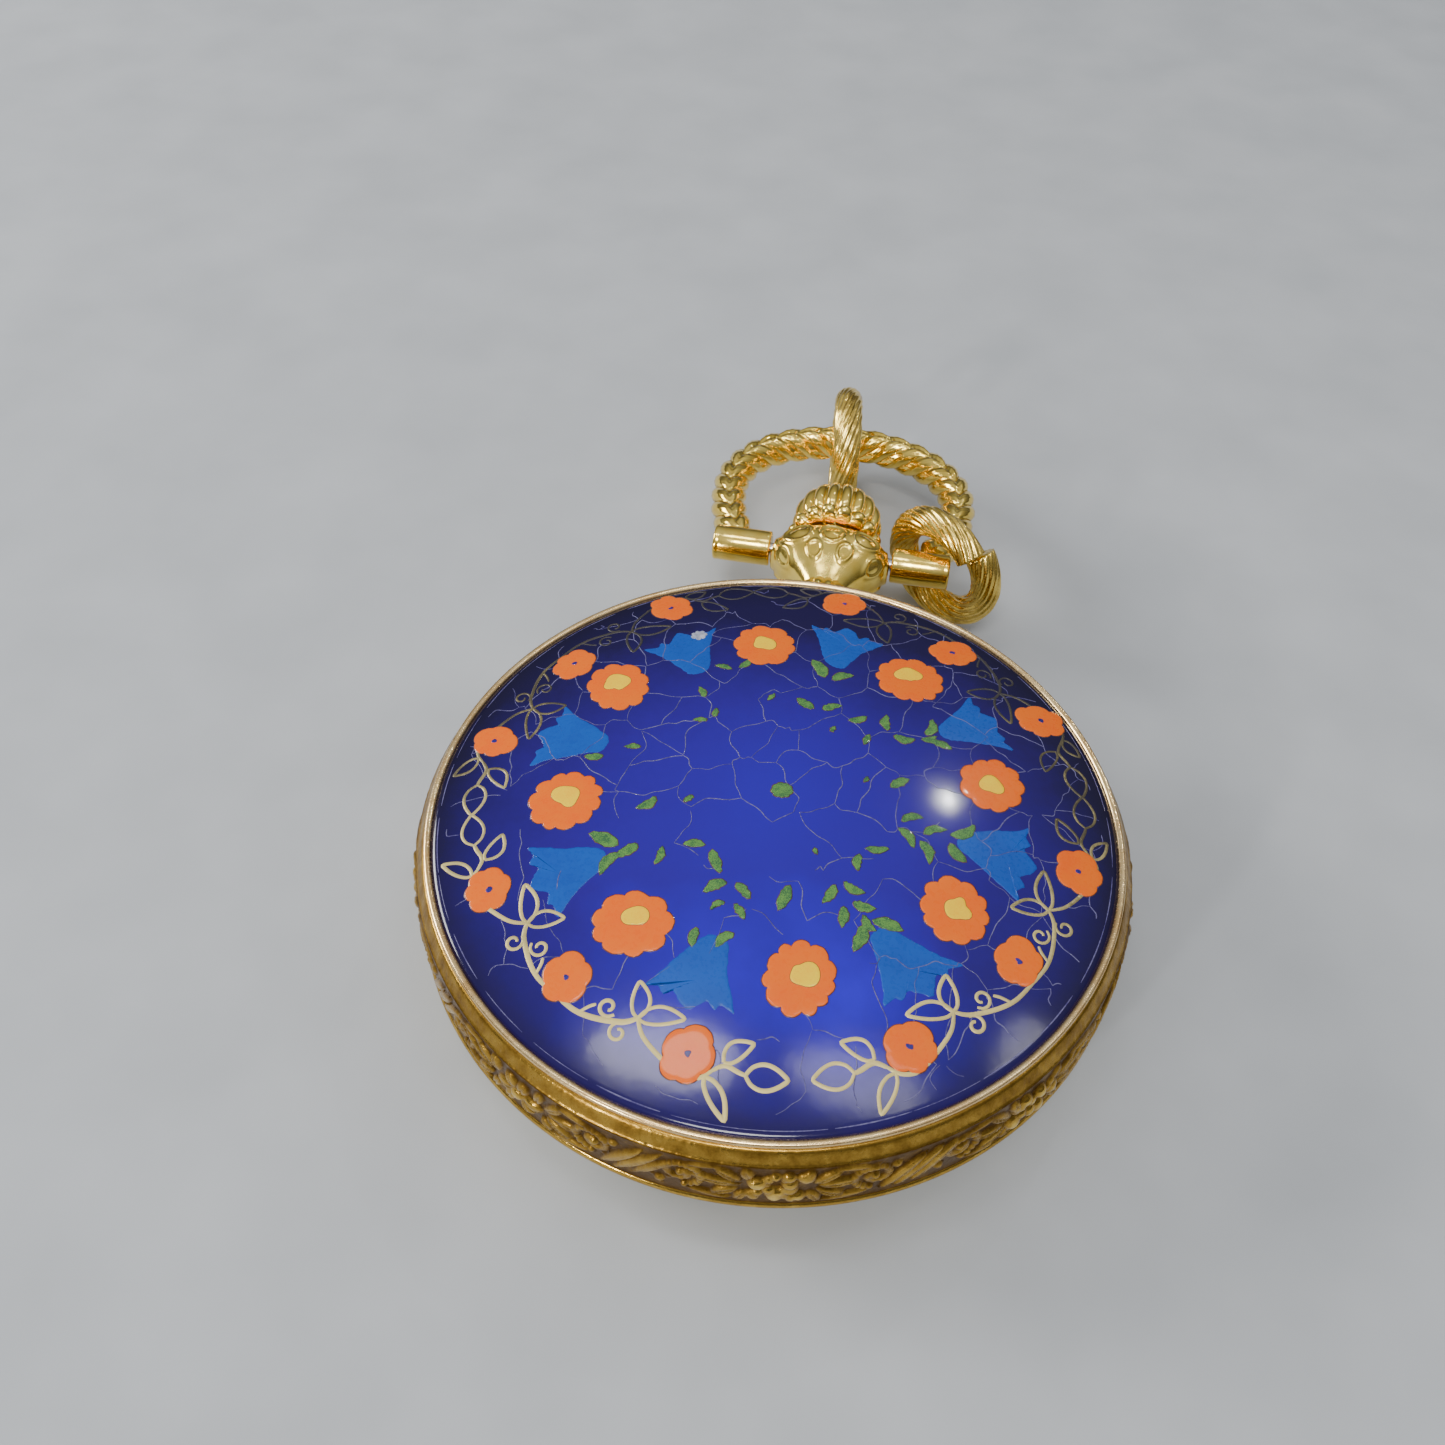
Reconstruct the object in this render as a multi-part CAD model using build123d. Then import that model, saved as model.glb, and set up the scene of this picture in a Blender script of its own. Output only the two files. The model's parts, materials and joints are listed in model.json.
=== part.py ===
from build123d import *
import math
import os

# A lady's fob watch lying on its crystal, with an enamelled back. Millimetres.
# The origin is on the case axis, on the crystal's flat face. +Z runs to the enamelled back and
# +Y runs to the crown and the bow.

# Case, outside.
CASE_RADIUS = 13.9
CASE_LOW = 2.4
CASE_HIGH = 6.0
RIM_HIGH = 6.25
ENAMEL_RADIUS = 13.12
RIM_RADIUS = 13.38
ENAMEL_EDGE = 6.2
DOME_HIGH = 7.7
COVER_HIGH = 7.3
CRYSTAL_FLAT = 9.6
CRYSTAL_RADIUS = 12.2

# Pendant, crown and bow.
STEM_HEIGHT = 4.0
STEM_RADIUS = 0.45
PENDANT_END = 18.3
SPIGOT = 0.88
CROWN_LOW = 19.1
CROWN_HIGH = 21.8
CROWN_RADIUS = 2.2
BOW_PIVOT = 17.65
BULB_HALF_WIDTH = 2.82
BOW_TILT = -0.1
BOW_WIRE = 0.75
BOW_HALF_WIDTH = 5.8
BOW_HALF_HEIGHT = 5.25
BOW_CENTRE = 5.2
BOW_CORNER = 5.0
BARREL_INNER = 2.92
BARREL_OUTER = 5.7
BARREL_WIRE = 0.84
PIN_RADIUS = 0.3
RING_RADIUS = 2.5
RING_WIRE = 0.7
TOP_RING_AT = (-0.45, 27.25, 3.2)
TOP_RING_YAW = 0.1
SIDE_RING_AT = (5.4, 18.56, 3.6)
SIDE_RING_YAW = -0.654
SIDE_RING_LEAN = 0.036

# Dial side, from the crystal inwards.
MINUTE_HAND_LOW = 1.35
HOUR_HAND_LOW = 1.75
HAND_THICK = 0.14
DIAL_LOW = 2.3
DIAL_HIGH = 2.5
DIAL_RADIUS = 11.6
MOTION_MODULE = 0.1
MINUTE_WHEEL_Y = 2.0
SETTING_WHEEL_Y = 4.5

# Movement levels.
PLATE_RADIUS = 10.2
PLATE_LOW = 3.05
PLATE_HIGH = 3.85
BRIDGE_LOW = 4.85
BRIDGE_HIGH = 5.25
RECESS_FLOOR = 3.2
ESCAPE_FLOOR = 3.3
TOOTH_LOW = 5.27
TOOTH_HIGH = 5.5
LEVER_LEVEL = (2.8, 3.0)
YOKE_LEVEL = (2.68, 2.88)

# Going train: module and teeth of each wheel with the pinion that it drives.
BARREL_MESH = (0.115, 72, 12)
CENTRE_MESH = (0.105, 64, 8)
THIRD_MESH = (0.1, 60, 8)
FOURTH_MESH = (0.09, 70, 7)
ESCAPE_TEETH = 15
ESCAPE_MODULE = 0.15
RATCHET_MODULE = 0.155
RATCHET_TEETH = 48
CROWN_WHEEL_TEETH = 28
PIVOT = 0.1
PIVOT_HOLE = 0.13

ON_BASE = (Align.CENTER, Align.CENTER, Align.MIN)
parts = {}


def polar(radius, angle, start=(0.0, 0.0)):
    """The point at a radius and angle from a start point."""
    return (start[0] + radius * math.cos(angle), start[1] + radius * math.sin(angle))


def bearing(start, end):
    """The direction from one point to another."""
    return math.atan2(end[1] - start[1], end[0] - start[0])


def reach(mesh):
    """Centre distance of a wheel and the pinion that it drives."""
    module, wheel, pinion = mesh
    return module * (wheel + pinion) / 2


CENTRE = (0.0, 0.0)
BARREL = polar(reach(BARREL_MESH), math.radians(160.0))
CROWN_WHEEL_GAP = RATCHET_MODULE * (RATCHET_TEETH + CROWN_WHEEL_TEETH) / 2
CROWN_WHEEL = (0.0, BARREL[1] + math.sqrt(CROWN_WHEEL_GAP ** 2 - BARREL[0] ** 2))
THIRD = polar(reach(CENTRE_MESH), math.radians(-5.0))
FOURTH = polar(reach(THIRD_MESH), math.radians(-100.0), THIRD)
ESCAPE = polar(reach(FOURTH_MESH), math.radians(-150.0), FOURTH)
BALANCE = (-4.3, -5.7)
PALLET = polar(1.5, bearing(ESCAPE, BALANCE), ESCAPE)
CLICK = polar(4.95, math.radians(205.0), BARREL)

BARREL_PILLARS = ((-6.6, 6.9), (-8.9, -2.3), (4.5, 8.2))
TRAIN_PILLARS = ((8.6, 1.2), (8.3, -4.6), (1.2, -9.0))
BALANCE_PILLAR = (-7.9, -5.0)
PALLET_PILLAR = (PALLET[0], PALLET[1] - 2.7)


def disc(radius, low, high, at=(0.0, 0.0)):
    return Pos(at[0], at[1], low) * Cylinder(radius, high - low, align=ON_BASE)


def hoop(outer, inner, low, high, at=(0.0, 0.0)):
    return disc(outer, low, high, at) - disc(inner, low - 1, high + 1, at)


def block(x, y, z, at=(0.0, 0.0, 0.0)):
    return Pos(*at) * Box(x, y, z)


def turned(points):
    """A turned solid from its (radius, height) corners."""
    return revolve(Plane.XZ * make_face(Polyline(*points, close=True)), Axis.Z)


def along_stem(shape):
    """Turns a shape built up the Z axis to lie along the stem, with its height running to +Y."""
    return Pos(0, 0, STEM_HEIGHT) * Rot(-90, 0, 0) * shape


def dome(radius, edge, top):
    """A solid cap from the plane z = 0 up to a spherical dome."""
    half = radius / 2
    sphere = (radius ** 2 + (top - edge) ** 2) / (2 * (top - edge))
    middle = top - sphere + math.sqrt(sphere ** 2 - half ** 2)
    arc = ThreePointArc((radius, edge), (half, middle), (0, top))
    sides = Polyline((0, top), (0, 0), (radius, 0), (radius, edge))
    return revolve(Plane.XZ * make_face(arc + sides), Axis.Z)


def gear(module, teeth, low, high, tooth_at=0.0, at=(0.0, 0.0)):
    """Straight flanked teeth, one of them centred on the direction tooth_at."""
    root = module * (teeth / 2 - 1.2)
    tip = module * (teeth / 2 + 1.0)
    pitch = 2 * math.pi / teeth
    corners = []
    for tooth in range(teeth):
        middle = tooth_at + tooth * pitch
        for radius, share in ((root, -0.26), (tip, -0.11), (tip, 0.11), (root, 0.26)):
            corners.append(polar(radius, middle + share * pitch))
    return Pos(at[0], at[1], low) * extrude(make_face(Polyline(*corners, close=True)), high - low)


def scallops(lobes, radius, depth, low, high):
    """A prism whose outline waves in and out, one wave for each lobe."""
    corners = []
    steps = 6 * lobes
    for step in range(steps):
        angle = 2 * math.pi * step / steps
        corners.append(polar(radius - depth / 2 * (1 - math.cos(lobes * angle)), angle))
    outline = make_face(Spline(*corners, periodic=True))
    return Pos(0, 0, low) * extrude(outline, high - low)


def spoke_windows(outer, inner, spokes, width, low, high, at):
    """The openings between a wheel's rim and its hub."""
    opening = hoop(outer, inner, low - 0.1, high + 0.1)
    for spoke in range(spokes):
        arm = block(outer + 0.2, width, high, at=(outer / 2, 0, low))
        opening = opening - Rot(0, 0, 360.0 * spoke / spokes) * arm
    return Pos(at[0], at[1], 0) * opening


def spiral(inner, outer, turns, thickness, low, high, at):
    """A flat spiral spring of one even thickness."""
    steps = int(18 * turns)
    inside = []
    outside = []
    for step in range(steps + 1):
        angle = 2 * math.pi * turns * step / steps
        radius = inner + (outer - inner) * step / steps
        inside.append(polar(radius, angle))
        outside.append(polar(radius + thickness, angle))
    band = Polyline(*inside, *reversed(outside), close=True)
    return Pos(at[0], at[1], low) * extrude(make_face(band), high - low)


def bar(start, end, width, low, high):
    """A straight bar with round ends between two points."""
    length = math.dist(start, end)
    turn = math.degrees(bearing(start, end))
    middle = ((start[0] + end[0]) / 2, (start[1] + end[1]) / 2, (low + high) / 2)
    straight = Pos(*middle) * Rot(0, 0, turn) * Box(length, width, high - low)
    return straight + disc(width / 2, low, high, start) + disc(width / 2, low, high, end)


def plan(corners, low, high):
    """A flat piece of any outline that stays inside the plate's edge."""
    outline = Pos(0, 0, low) * extrude(make_face(Polyline(*corners, close=True)), high - low)
    return outline & disc(PLATE_RADIUS - 0.4, low, high)


def facing_gap(mesh_teeth, direction):
    """Where a pinion's tooth stands when a gap faces the given direction."""
    return direction + math.pi / mesh_teeth


def build_case():
    parts["crystal"] = turned((
        (0, 0), (CRYSTAL_FLAT, 0), (11.9, 1.65), (CRYSTAL_RADIUS, 1.75), (CRYSTAL_RADIUS, 2.25),
        (11.3, 2.25), (9.4, 0.9), (0, 0.9)))
    parts["crystal_gasket"] = hoop(CRYSTAL_RADIUS + 0.25, CRYSTAL_RADIUS, 1.7, 2.25)
    bezel_in = CRYSTAL_RADIUS + 0.25
    parts["bezel"] = turned((
        (12.1, 1.1), (12.55, 1.1), (13.1, 1.35), (13.5, 1.75), (13.65, 2.1),
        (13.65, CASE_LOW - 0.05), (bezel_in, CASE_LOW - 0.05), (bezel_in, 1.65), (12.1, 1.5)))
    band = turned((
        (12.7, CASE_LOW), (CASE_RADIUS - 0.06, CASE_LOW), (CASE_RADIUS, CASE_LOW + 0.17),
        (CASE_RADIUS - 0.05, CASE_LOW + 0.34), (13.8, CASE_LOW + 0.4), (13.78, 4.5), (13.66, 5.3),
        (13.6, 5.5), (13.5, 5.8), (RIM_RADIUS, CASE_HIGH), (13.14, CASE_HIGH), (13.14, 5.4),
        (13.3, 5.25), (13.3, CASE_LOW + 0.4), (12.7, CASE_LOW + 0.4)))
    parts["case_band"] = band - along_stem(disc(SPIGOT, 12.0, 15.0))
    metal = dome(ENAMEL_RADIUS, 5.95, COVER_HIGH)
    rim = turned((
        (ENAMEL_RADIUS - 0.02, CASE_HIGH), (13.35, CASE_HIGH), (RIM_RADIUS, 6.06), (RIM_RADIUS, 6.15),
        (13.33, RIM_HIGH), (13.22, RIM_HIGH), (ENAMEL_RADIUS - 0.02, 6.18)))
    skirt = hoop(12.97, 12.6, 5.35, 6.1) & dome(12.97, 6.0, 7.35)
    cover = (metal - dome(ENAMEL_RADIUS, 5.6, COVER_HIGH - 0.3) - disc(12.6, 0, 5.7)) + rim + skirt
    parts["back_cover"] = cover - disc(20, -1, 5.35)
    enamel = dome(ENAMEL_RADIUS, ENAMEL_EDGE, DOME_HIGH) - metal
    parts["enamel_disc"] = enamel - parts["back_cover"]
    ring = hoop(13.2, PLATE_RADIUS + 0.05, 3.5, 4.9)
    parts["movement_ring"] = ring - block(3.2, 6, 2.4, at=(0, 12, STEM_HEIGHT))
    screws = []
    for place in range(3):
        at = polar(11.7, math.radians(-90 + 120 * place))
        screws.append(disc(0.7, 4.9, 5.15, at) + disc(0.35, 4.0, 4.9, at))
        slot = block(1.6, 0.16, 0.2, at=(at[0], at[1], 5.15))
        screws[-1] = screws[-1] - slot
        parts["movement_ring"] = parts["movement_ring"] - disc(0.35, 4.0, 5.0, at)
    parts["case_screws"] = Compound(children=screws)


def build_pendant():
    sections = ((1.15, 1.15, 14.6), (1.3, 1.25, 15.0), (1.8, 1.55, 15.6), (2.45, 1.9, 16.35),
                (BULB_HALF_WIDTH, 2.05, 17.1), (BULB_HALF_WIDTH, 2.05, BOW_PIVOT),
                (2.45, 1.95, 18.05), (1.8, 1.6, PENDANT_END))
    outlines = []
    for wide, tall, along in sections:
        outlines.append(Pos(0, 0, along) * Ellipse(wide, tall))
    bulb = loft(outlines)
    neck = along_stem(turned(((0.75, 13.0), (SPIGOT, 13.0), (SPIGOT, 13.95), (1.15, 13.95),
                              (1.15, 14.65), (0.75, 14.65))) + bulb)
    neck = neck - along_stem(disc(0.75, 12.0, 20.0))
    for side in (-1, 1):
        hole = Pos(side * 2.5, BOW_PIVOT, STEM_HEIGHT) * Rot(0, 90, 0) * Cylinder(PIN_RADIUS, 1.2)
        neck = neck - hole
    parts["pendant_neck"] = neck
    collar = scallops(16, 1.6, 0.25, 13.95, 14.55) - disc(1.15, 13.0, 15.0)
    parts["pendant_collar"] = along_stem(collar)
    pins = []
    for side in (-1, 1):
        pin = Rot(0, 90, 0) * Cylinder(PIN_RADIUS, 3.2)
        pins.append(Pos(side * 3.55, BOW_PIVOT, STEM_HEIGHT) * pin)
    parts["bow_pins"] = Compound(children=pins)


def build_crown():
    onion = turned((
        (0, CROWN_LOW), (1.85, CROWN_LOW), (CROWN_RADIUS - 0.05, CROWN_LOW + 0.5),
        (CROWN_RADIUS, CROWN_LOW + 1.0), (2.0, CROWN_LOW + 1.6), (1.5, CROWN_LOW + 2.2),
        (0.8, CROWN_LOW + 2.6), (0, CROWN_HIGH)))
    fluted = onion & scallops(14, CROWN_RADIUS, 0.4, CROWN_LOW, CROWN_HIGH)
    parts["crown"] = along_stem(fluted - disc(STEM_RADIUS, CROWN_LOW - 1, CROWN_LOW + 1.2))
    beads = scallops(16, CROWN_RADIUS, 0.25, PENDANT_END + 0.15, CROWN_LOW)
    parts["crown_ring"] = along_stem(beads - disc(STEM_RADIUS, PENDANT_END, CROWN_LOW + 1))
    rod = disc(STEM_RADIUS, 7.05, CROWN_LOW + 1.2) + disc(0.2, 4.1, 4.9)
    square = Pos(0, 0, 5.975) * Box(0.6, 0.6, 2.15)
    parts["winding_stem"] = along_stem(rod + square - hoop(1.0, 0.25, 8.3, 8.6))
    teeth = scallops(12, 1.28, 0.3, 7.15, 7.85) - disc(0.48, 7.0, 8.0)
    parts["winding_pinion"] = along_stem(teeth)
    clutch = scallops(12, 0.82, 0.15, 5.6, 6.4) + disc(0.6, 6.4, 6.8) + disc(0.8, 6.8, 7.05)
    parts["sliding_pinion"] = along_stem(clutch - Pos(0, 0, 6.3) * Box(0.66, 0.66, 2.0))


def bow_path():
    """The bow's centre line, flat in XY with the pivot axis along X through the origin."""
    offset = BOW_HALF_WIDTH - BOW_CORNER
    rise = BOW_HALF_HEIGHT - BOW_CORNER
    drop = (offset ** 2 - rise ** 2) / (2 * rise)
    crown_radius = BOW_HALF_HEIGHT + drop
    join_angle = math.atan2(drop, offset)
    join = polar(BOW_CORNER, join_angle, (offset, BOW_CENTRE))
    side_mid = polar(BOW_CORNER, join_angle / 2, (offset, BOW_CENTRE))
    end = (4.6, 0.5)
    inset = BOW_HALF_WIDTH - end[0]
    fall = BOW_CENTRE - end[1]
    leg_radius = (inset ** 2 + fall ** 2) / (2 * inset)
    leg_angle = -math.asin(fall / leg_radius) / 2
    leg_mid = polar(leg_radius, leg_angle, (BOW_HALF_WIDTH - leg_radius, BOW_CENTRE))
    top = (0.0, BOW_CENTRE - drop + crown_radius)
    widest = (BOW_HALF_WIDTH, BOW_CENTRE)
    right = [ThreePointArc(end, leg_mid, widest), ThreePointArc(widest, side_mid, join)]

    def flip(point):
        return (-point[0], point[1])

    arch = ThreePointArc(join, top, flip(join))
    left = [ThreePointArc(flip(join), flip(side_mid), flip(widest)),
            ThreePointArc(flip(widest), flip(leg_mid), flip(end))]
    return Wire([*right, arch, *left])


def build_bow():
    path = bow_path()
    section = Plane(origin=path @ 0, z_dir=path % 0) * Circle(BOW_WIRE)
    wire = sweep(section, path=path)
    place = Pos(0, BOW_PIVOT, STEM_HEIGHT) * Rot(math.degrees(BOW_TILT), 0, 0)
    length = BARREL_OUTER - BARREL_INNER
    middle = (BARREL_OUTER + BARREL_INNER) / 2
    for side, name in ((-1, "bow_barrel_left"), (1, "bow_barrel_right")):
        barrel = Pos(side * middle, 0, 0) * Rot(0, 90, 0) * Cylinder(BARREL_WIRE, length)
        wire = wire - barrel
        bore = Pos(side * (middle - 0.15), 0, 0) * Rot(0, 90, 0) * Cylinder(PIN_RADIUS + 0.03, length)
        parts[name] = place * (barrel - bore)
    parts["bow"] = place * wire
    ring = Rot(0, 90, 0) * Torus(RING_RADIUS, RING_WIRE)
    parts["jump_ring_top"] = Pos(*TOP_RING_AT) * Rot(0, 0, math.degrees(TOP_RING_YAW)) * ring
    turn = math.degrees(math.pi / 2 + SIDE_RING_YAW)
    lean = math.degrees(SIDE_RING_LEAN)
    parts["jump_ring_side"] = Pos(*SIDE_RING_AT) * Rot(0, 0, turn) * Rot(0, -lean, 0) * ring


def build_dial():
    dial = disc(DIAL_RADIUS, DIAL_LOW, DIAL_HIGH) - disc(0.7, 0, 5)
    for angle in (20.0, 200.0):
        dial = dial + disc(0.25, DIAL_HIGH, 3.6, polar(9.0, math.radians(angle)))
    parts["dial"] = dial
    markers = []
    for hour in range(12):
        marker = Pos(0, 9.0, DIAL_LOW - 0.04) * Box(0.5 if hour % 3 else 0.8, 1.7, 0.08)
        markers.append(Rot(0, 0, 30.0 * hour) * marker)
    parts["dial_markers"] = Compound(children=markers)
    for name, low, length, bore in (("minute_hand", MINUTE_HAND_LOW, 8.3, 0.42),
                                    ("hour_hand", HOUR_HAND_LOW, 5.6, 0.65)):
        high = low + HAND_THICK
        outline = Polyline((-0.12, 0), (-0.4, length * 0.55), (0, length), (0.4, length * 0.55),
                           (0.12, 0), (0.2, -1.6), (-0.2, -1.6), close=True)
        blade = Pos(0, 0, low) * extrude(make_face(outline), HAND_THICK)
        parts[name] = blade + disc(bore + 0.35, low, high) - disc(bore, 0, 3)
    parts["minute_hand"] = Rot(0, 0, -60) * parts["minute_hand"]
    parts["hour_hand"] = Rot(0, 0, 55) * parts["hour_hand"]
    up = math.pi / 2
    cannon = gear(MOTION_MODULE, 10, 2.75, 3.0, up) + disc(0.42, 1.3, 3.0)
    parts["cannon_pinion"] = cannon - disc(0.22, 1, 4)
    hour_wheel = gear(MOTION_MODULE, 32, 2.58, 2.7, up) + disc(0.65, 1.7, 2.7)
    parts["hour_wheel"] = hour_wheel - disc(0.46, 1, 4)
    minute_at = (0.0, MINUTE_WHEEL_Y)
    minute = gear(MOTION_MODULE, 30, 2.8, 2.95, facing_gap(30, -up), minute_at)
    minute = minute + gear(MOTION_MODULE, 8, 2.56, 2.8, facing_gap(8, -up), minute_at)
    parts["minute_wheel"] = minute - disc(0.17, 2, 4, minute_at)
    setting_at = (0.0, SETTING_WHEEL_Y)
    setting = gear(MOTION_MODULE, 20, 2.8, 2.95, facing_gap(20, -up), setting_at)
    parts["setting_wheel"] = setting - disc(0.17, 2, 4, setting_at)


def build_plate():
    plate = disc(PLATE_RADIUS, PLATE_LOW, PLATE_HIGH)
    plate = plate + hoop(PLATE_RADIUS, 9.4, DIAL_HIGH, PLATE_LOW)
    plate = plate - disc(3.65, RECESS_FLOOR, 5) - disc(0.75, RECESS_FLOOR, 5, THIRD)
    for at, radius in ((ESCAPE, 1.65), (PALLET, 1.3), (BALANCE, 0.95)):
        plate = plate - disc(radius, ESCAPE_FLOOR, 5, at)
    plate = plate - bar(PALLET, BALANCE, 1.2, ESCAPE_FLOOR, 5)
    plate = plate - block(3.0, 6.4, 3.0, at=(0, 7.6, PLATE_HIGH))
    step = block(1.2, 0.5, 0.8, at=(0, 4.1, PLATE_HIGH + 0.4 - 0.05))
    plate = plate + step - along_stem(disc(0.23, 3.0, 5.0))
    for along in (MINUTE_WHEEL_Y, SETTING_WHEEL_Y):
        plate = plate + disc(0.14, 2.6, PLATE_LOW + 0.1, (0.0, along))
    plate = plate + block(1.2, 1.2, 0.1, at=(0, SETTING_WHEEL_Y - 0.2, PLATE_LOW + 0.05))
    for at in (THIRD, FOURTH, ESCAPE, PALLET, BALANCE):
        plate = plate - disc(PIVOT_HOLE, 2, 5, at)
    plate = plate - disc(0.24, 2, 5) - disc(0.33, 2, 5, BARREL)
    for angle in (20.0, 200.0):
        plate = plate - disc(0.27, 2, 5, polar(9.0, math.radians(angle)))
    parts["main_plate"] = plate


def pillars(spots):
    feet = [disc(0.6, PLATE_HIGH, BRIDGE_LOW, at) for at in spots]
    return feet[0] + feet[1:]


def build_bridges():
    upper = plan(((-10.5, -3.0), (-1.5, -3.0), (-0.95, 1.1), (2.4, 2.9), (10.5, 2.9),
                  (10.5, 10.5), (-10.5, 10.5)), BRIDGE_LOW, BRIDGE_HIGH)
    upper = upper + pillars(BARREL_PILLARS) - disc(0.6, 4, 6, BARREL)
    upper = upper - block(2.8, 1.0, 2.0, at=(0, 7.5, BRIDGE_LOW))
    parts["barrel_bridge"] = upper + disc(0.6, BRIDGE_HIGH, TOOTH_HIGH, CROWN_WHEEL)
    lower = plan(((-1.2, -3.3), (-0.65, 0.9), (2.5, 2.6), (10.5, 2.6), (10.5, -10.5),
                  (-0.3, -10.5), (-0.75, -3.3)), BRIDGE_LOW, BRIDGE_HIGH)
    lower = lower + pillars(TRAIN_PILLARS)
    for at in (THIRD, FOURTH, ESCAPE):
        lower = lower - disc(0.45, 4, 6, at)
    parts["train_bridge"] = lower - disc(0.24, 4, 6)
    cock = bar(BALANCE_PILLAR, BALANCE, 1.5, BRIDGE_LOW, BRIDGE_HIGH)
    cock = cock + disc(1.2, BRIDGE_LOW, BRIDGE_HIGH, BALANCE)
    cock = cock + disc(0.6, PLATE_HIGH, BRIDGE_LOW, BALANCE_PILLAR)
    parts["balance_cock"] = cock - disc(0.5, 4, 6, BALANCE)
    low_cock = bar(PALLET_PILLAR, PALLET, 0.8, 3.95, 4.15)
    low_cock = low_cock + disc(0.4, PLATE_HIGH, 3.95, PALLET_PILLAR)
    parts["pallet_cock"] = low_cock - disc(PIVOT_HOLE, 3, 5, PALLET)
    jewels = []
    for at, radius in ((THIRD, 0.45), (FOURTH, 0.45), (ESCAPE, 0.45), (BALANCE, 0.5)):
        jewels.append(hoop(radius, PIVOT_HOLE, BRIDGE_LOW + 0.1, BRIDGE_HIGH, at))
    parts["jewels"] = Compound(children=jewels)
    screws = []
    homes = {"barrel_bridge": BARREL_PILLARS, "train_bridge": TRAIN_PILLARS,
             "balance_cock": (BALANCE_PILLAR,)}
    for bridge, spots in homes.items():
        for at in spots:
            shank = disc(0.25, 4.3, BRIDGE_HIGH, at)
            parts[bridge] = parts[bridge] - disc(0.25, 4.3, 6, at)
            head = disc(0.48, BRIDGE_HIGH, BRIDGE_HIGH + 0.2, at)
            slot = block(1.2, 0.12, 0.2, at=(at[0], at[1], BRIDGE_HIGH + 0.2))
            screws.append(head + shank - slot)
    parts["pallet_cock"] = parts["pallet_cock"] - disc(0.2, 3.9, 5, PALLET_PILLAR)
    screws.append(disc(0.3, 4.15, 4.3, PALLET_PILLAR) + disc(0.2, 3.9, 4.15, PALLET_PILLAR))
    parts["bridge_screws"] = Compound(children=screws)


def build_barrel():
    module, teeth, _ = BARREL_MESH
    drum = gear(module, teeth, 3.95, 4.1, bearing(BARREL, CENTRE), BARREL)
    drum = drum + hoop(3.8, 3.55, 4.1, 4.65, BARREL)
    parts["mainspring_barrel"] = drum - disc(0.58, 3, 5, BARREL)
    parts["barrel_cover"] = hoop(3.8, 0.58, 4.65, 4.78, BARREL)
    parts["mainspring"] = spiral(0.7, 3.4, 7, 0.13, 4.15, 4.6, BARREL)
    arbor = disc(0.3, 3.1, 3.9, BARREL) + disc(0.54, 3.9, TOOTH_LOW, BARREL)
    corner = (BARREL[0], BARREL[1], (TOOTH_LOW + TOOTH_HIGH + 0.1) / 2)
    arbor = arbor + block(0.7, 0.7, TOOTH_HIGH + 0.1 - TOOTH_LOW, at=corner)
    parts["barrel_arbor"] = arbor
    to_crown = bearing(BARREL, CROWN_WHEEL)
    ratchet = gear(RATCHET_MODULE, RATCHET_TEETH, TOOTH_LOW, TOOTH_HIGH, to_crown, BARREL)
    parts["ratchet_wheel"] = ratchet - block(0.7, 0.7, 1, at=corner)
    phase = facing_gap(CROWN_WHEEL_TEETH, to_crown + math.pi)
    crown_wheel = gear(RATCHET_MODULE, CROWN_WHEEL_TEETH, TOOTH_LOW, TOOTH_HIGH, phase, CROWN_WHEEL)
    parts["crown_wheel"] = crown_wheel - disc(0.65, 5, 6, CROWN_WHEEL)
    beak_end = polar(RATCHET_MODULE * (RATCHET_TEETH / 2 - 0.1), math.radians(211.0), BARREL)
    click = disc(0.45, TOOTH_LOW, TOOTH_HIGH, CLICK)
    click = click + bar(CLICK, beak_end, 0.24, TOOTH_LOW, TOOTH_HIGH)
    ratchet_zone = disc(RATCHET_MODULE * (RATCHET_TEETH / 2 + 0.3), 5, 6, BARREL)
    parts["click"] = click - disc(0.2, 5, 6, CLICK) - ratchet_zone
    post = disc(0.18, BRIDGE_HIGH, TOOTH_HIGH, CLICK)
    parts["barrel_bridge"] = parts["barrel_bridge"] + post
    spring_foot = polar(9.1, math.radians(165.0))
    spring_tip = polar(9.3, math.radians(176.0))
    parts["click_spring"] = bar(spring_foot, spring_tip, 0.12, BRIDGE_HIGH, TOOTH_HIGH - 0.05)


def wheel_and_pinion(at, wheel, pinion, wheel_z, pinion_z, arbor, phases):
    """A spoked train wheel, its pinion and its arbor, cut from one piece of brass and steel."""
    module, teeth = wheel
    low, high = wheel_z
    body = gear(module, teeth, low, high, phases[0], at)
    rim = module * (teeth / 2 - 1.2) - 0.3
    body = body - spoke_windows(rim, 0.75, 4, 0.35, low, high, at)
    body = body + gear(pinion[0], pinion[1], pinion_z[0], pinion_z[1], phases[1], at)
    arbor_low, arbor_high, radius = arbor
    body = body + disc(radius, arbor_low + 0.15, arbor_high - 0.15, at)
    return body + disc(PIVOT, arbor_low, arbor_high, at)


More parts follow.
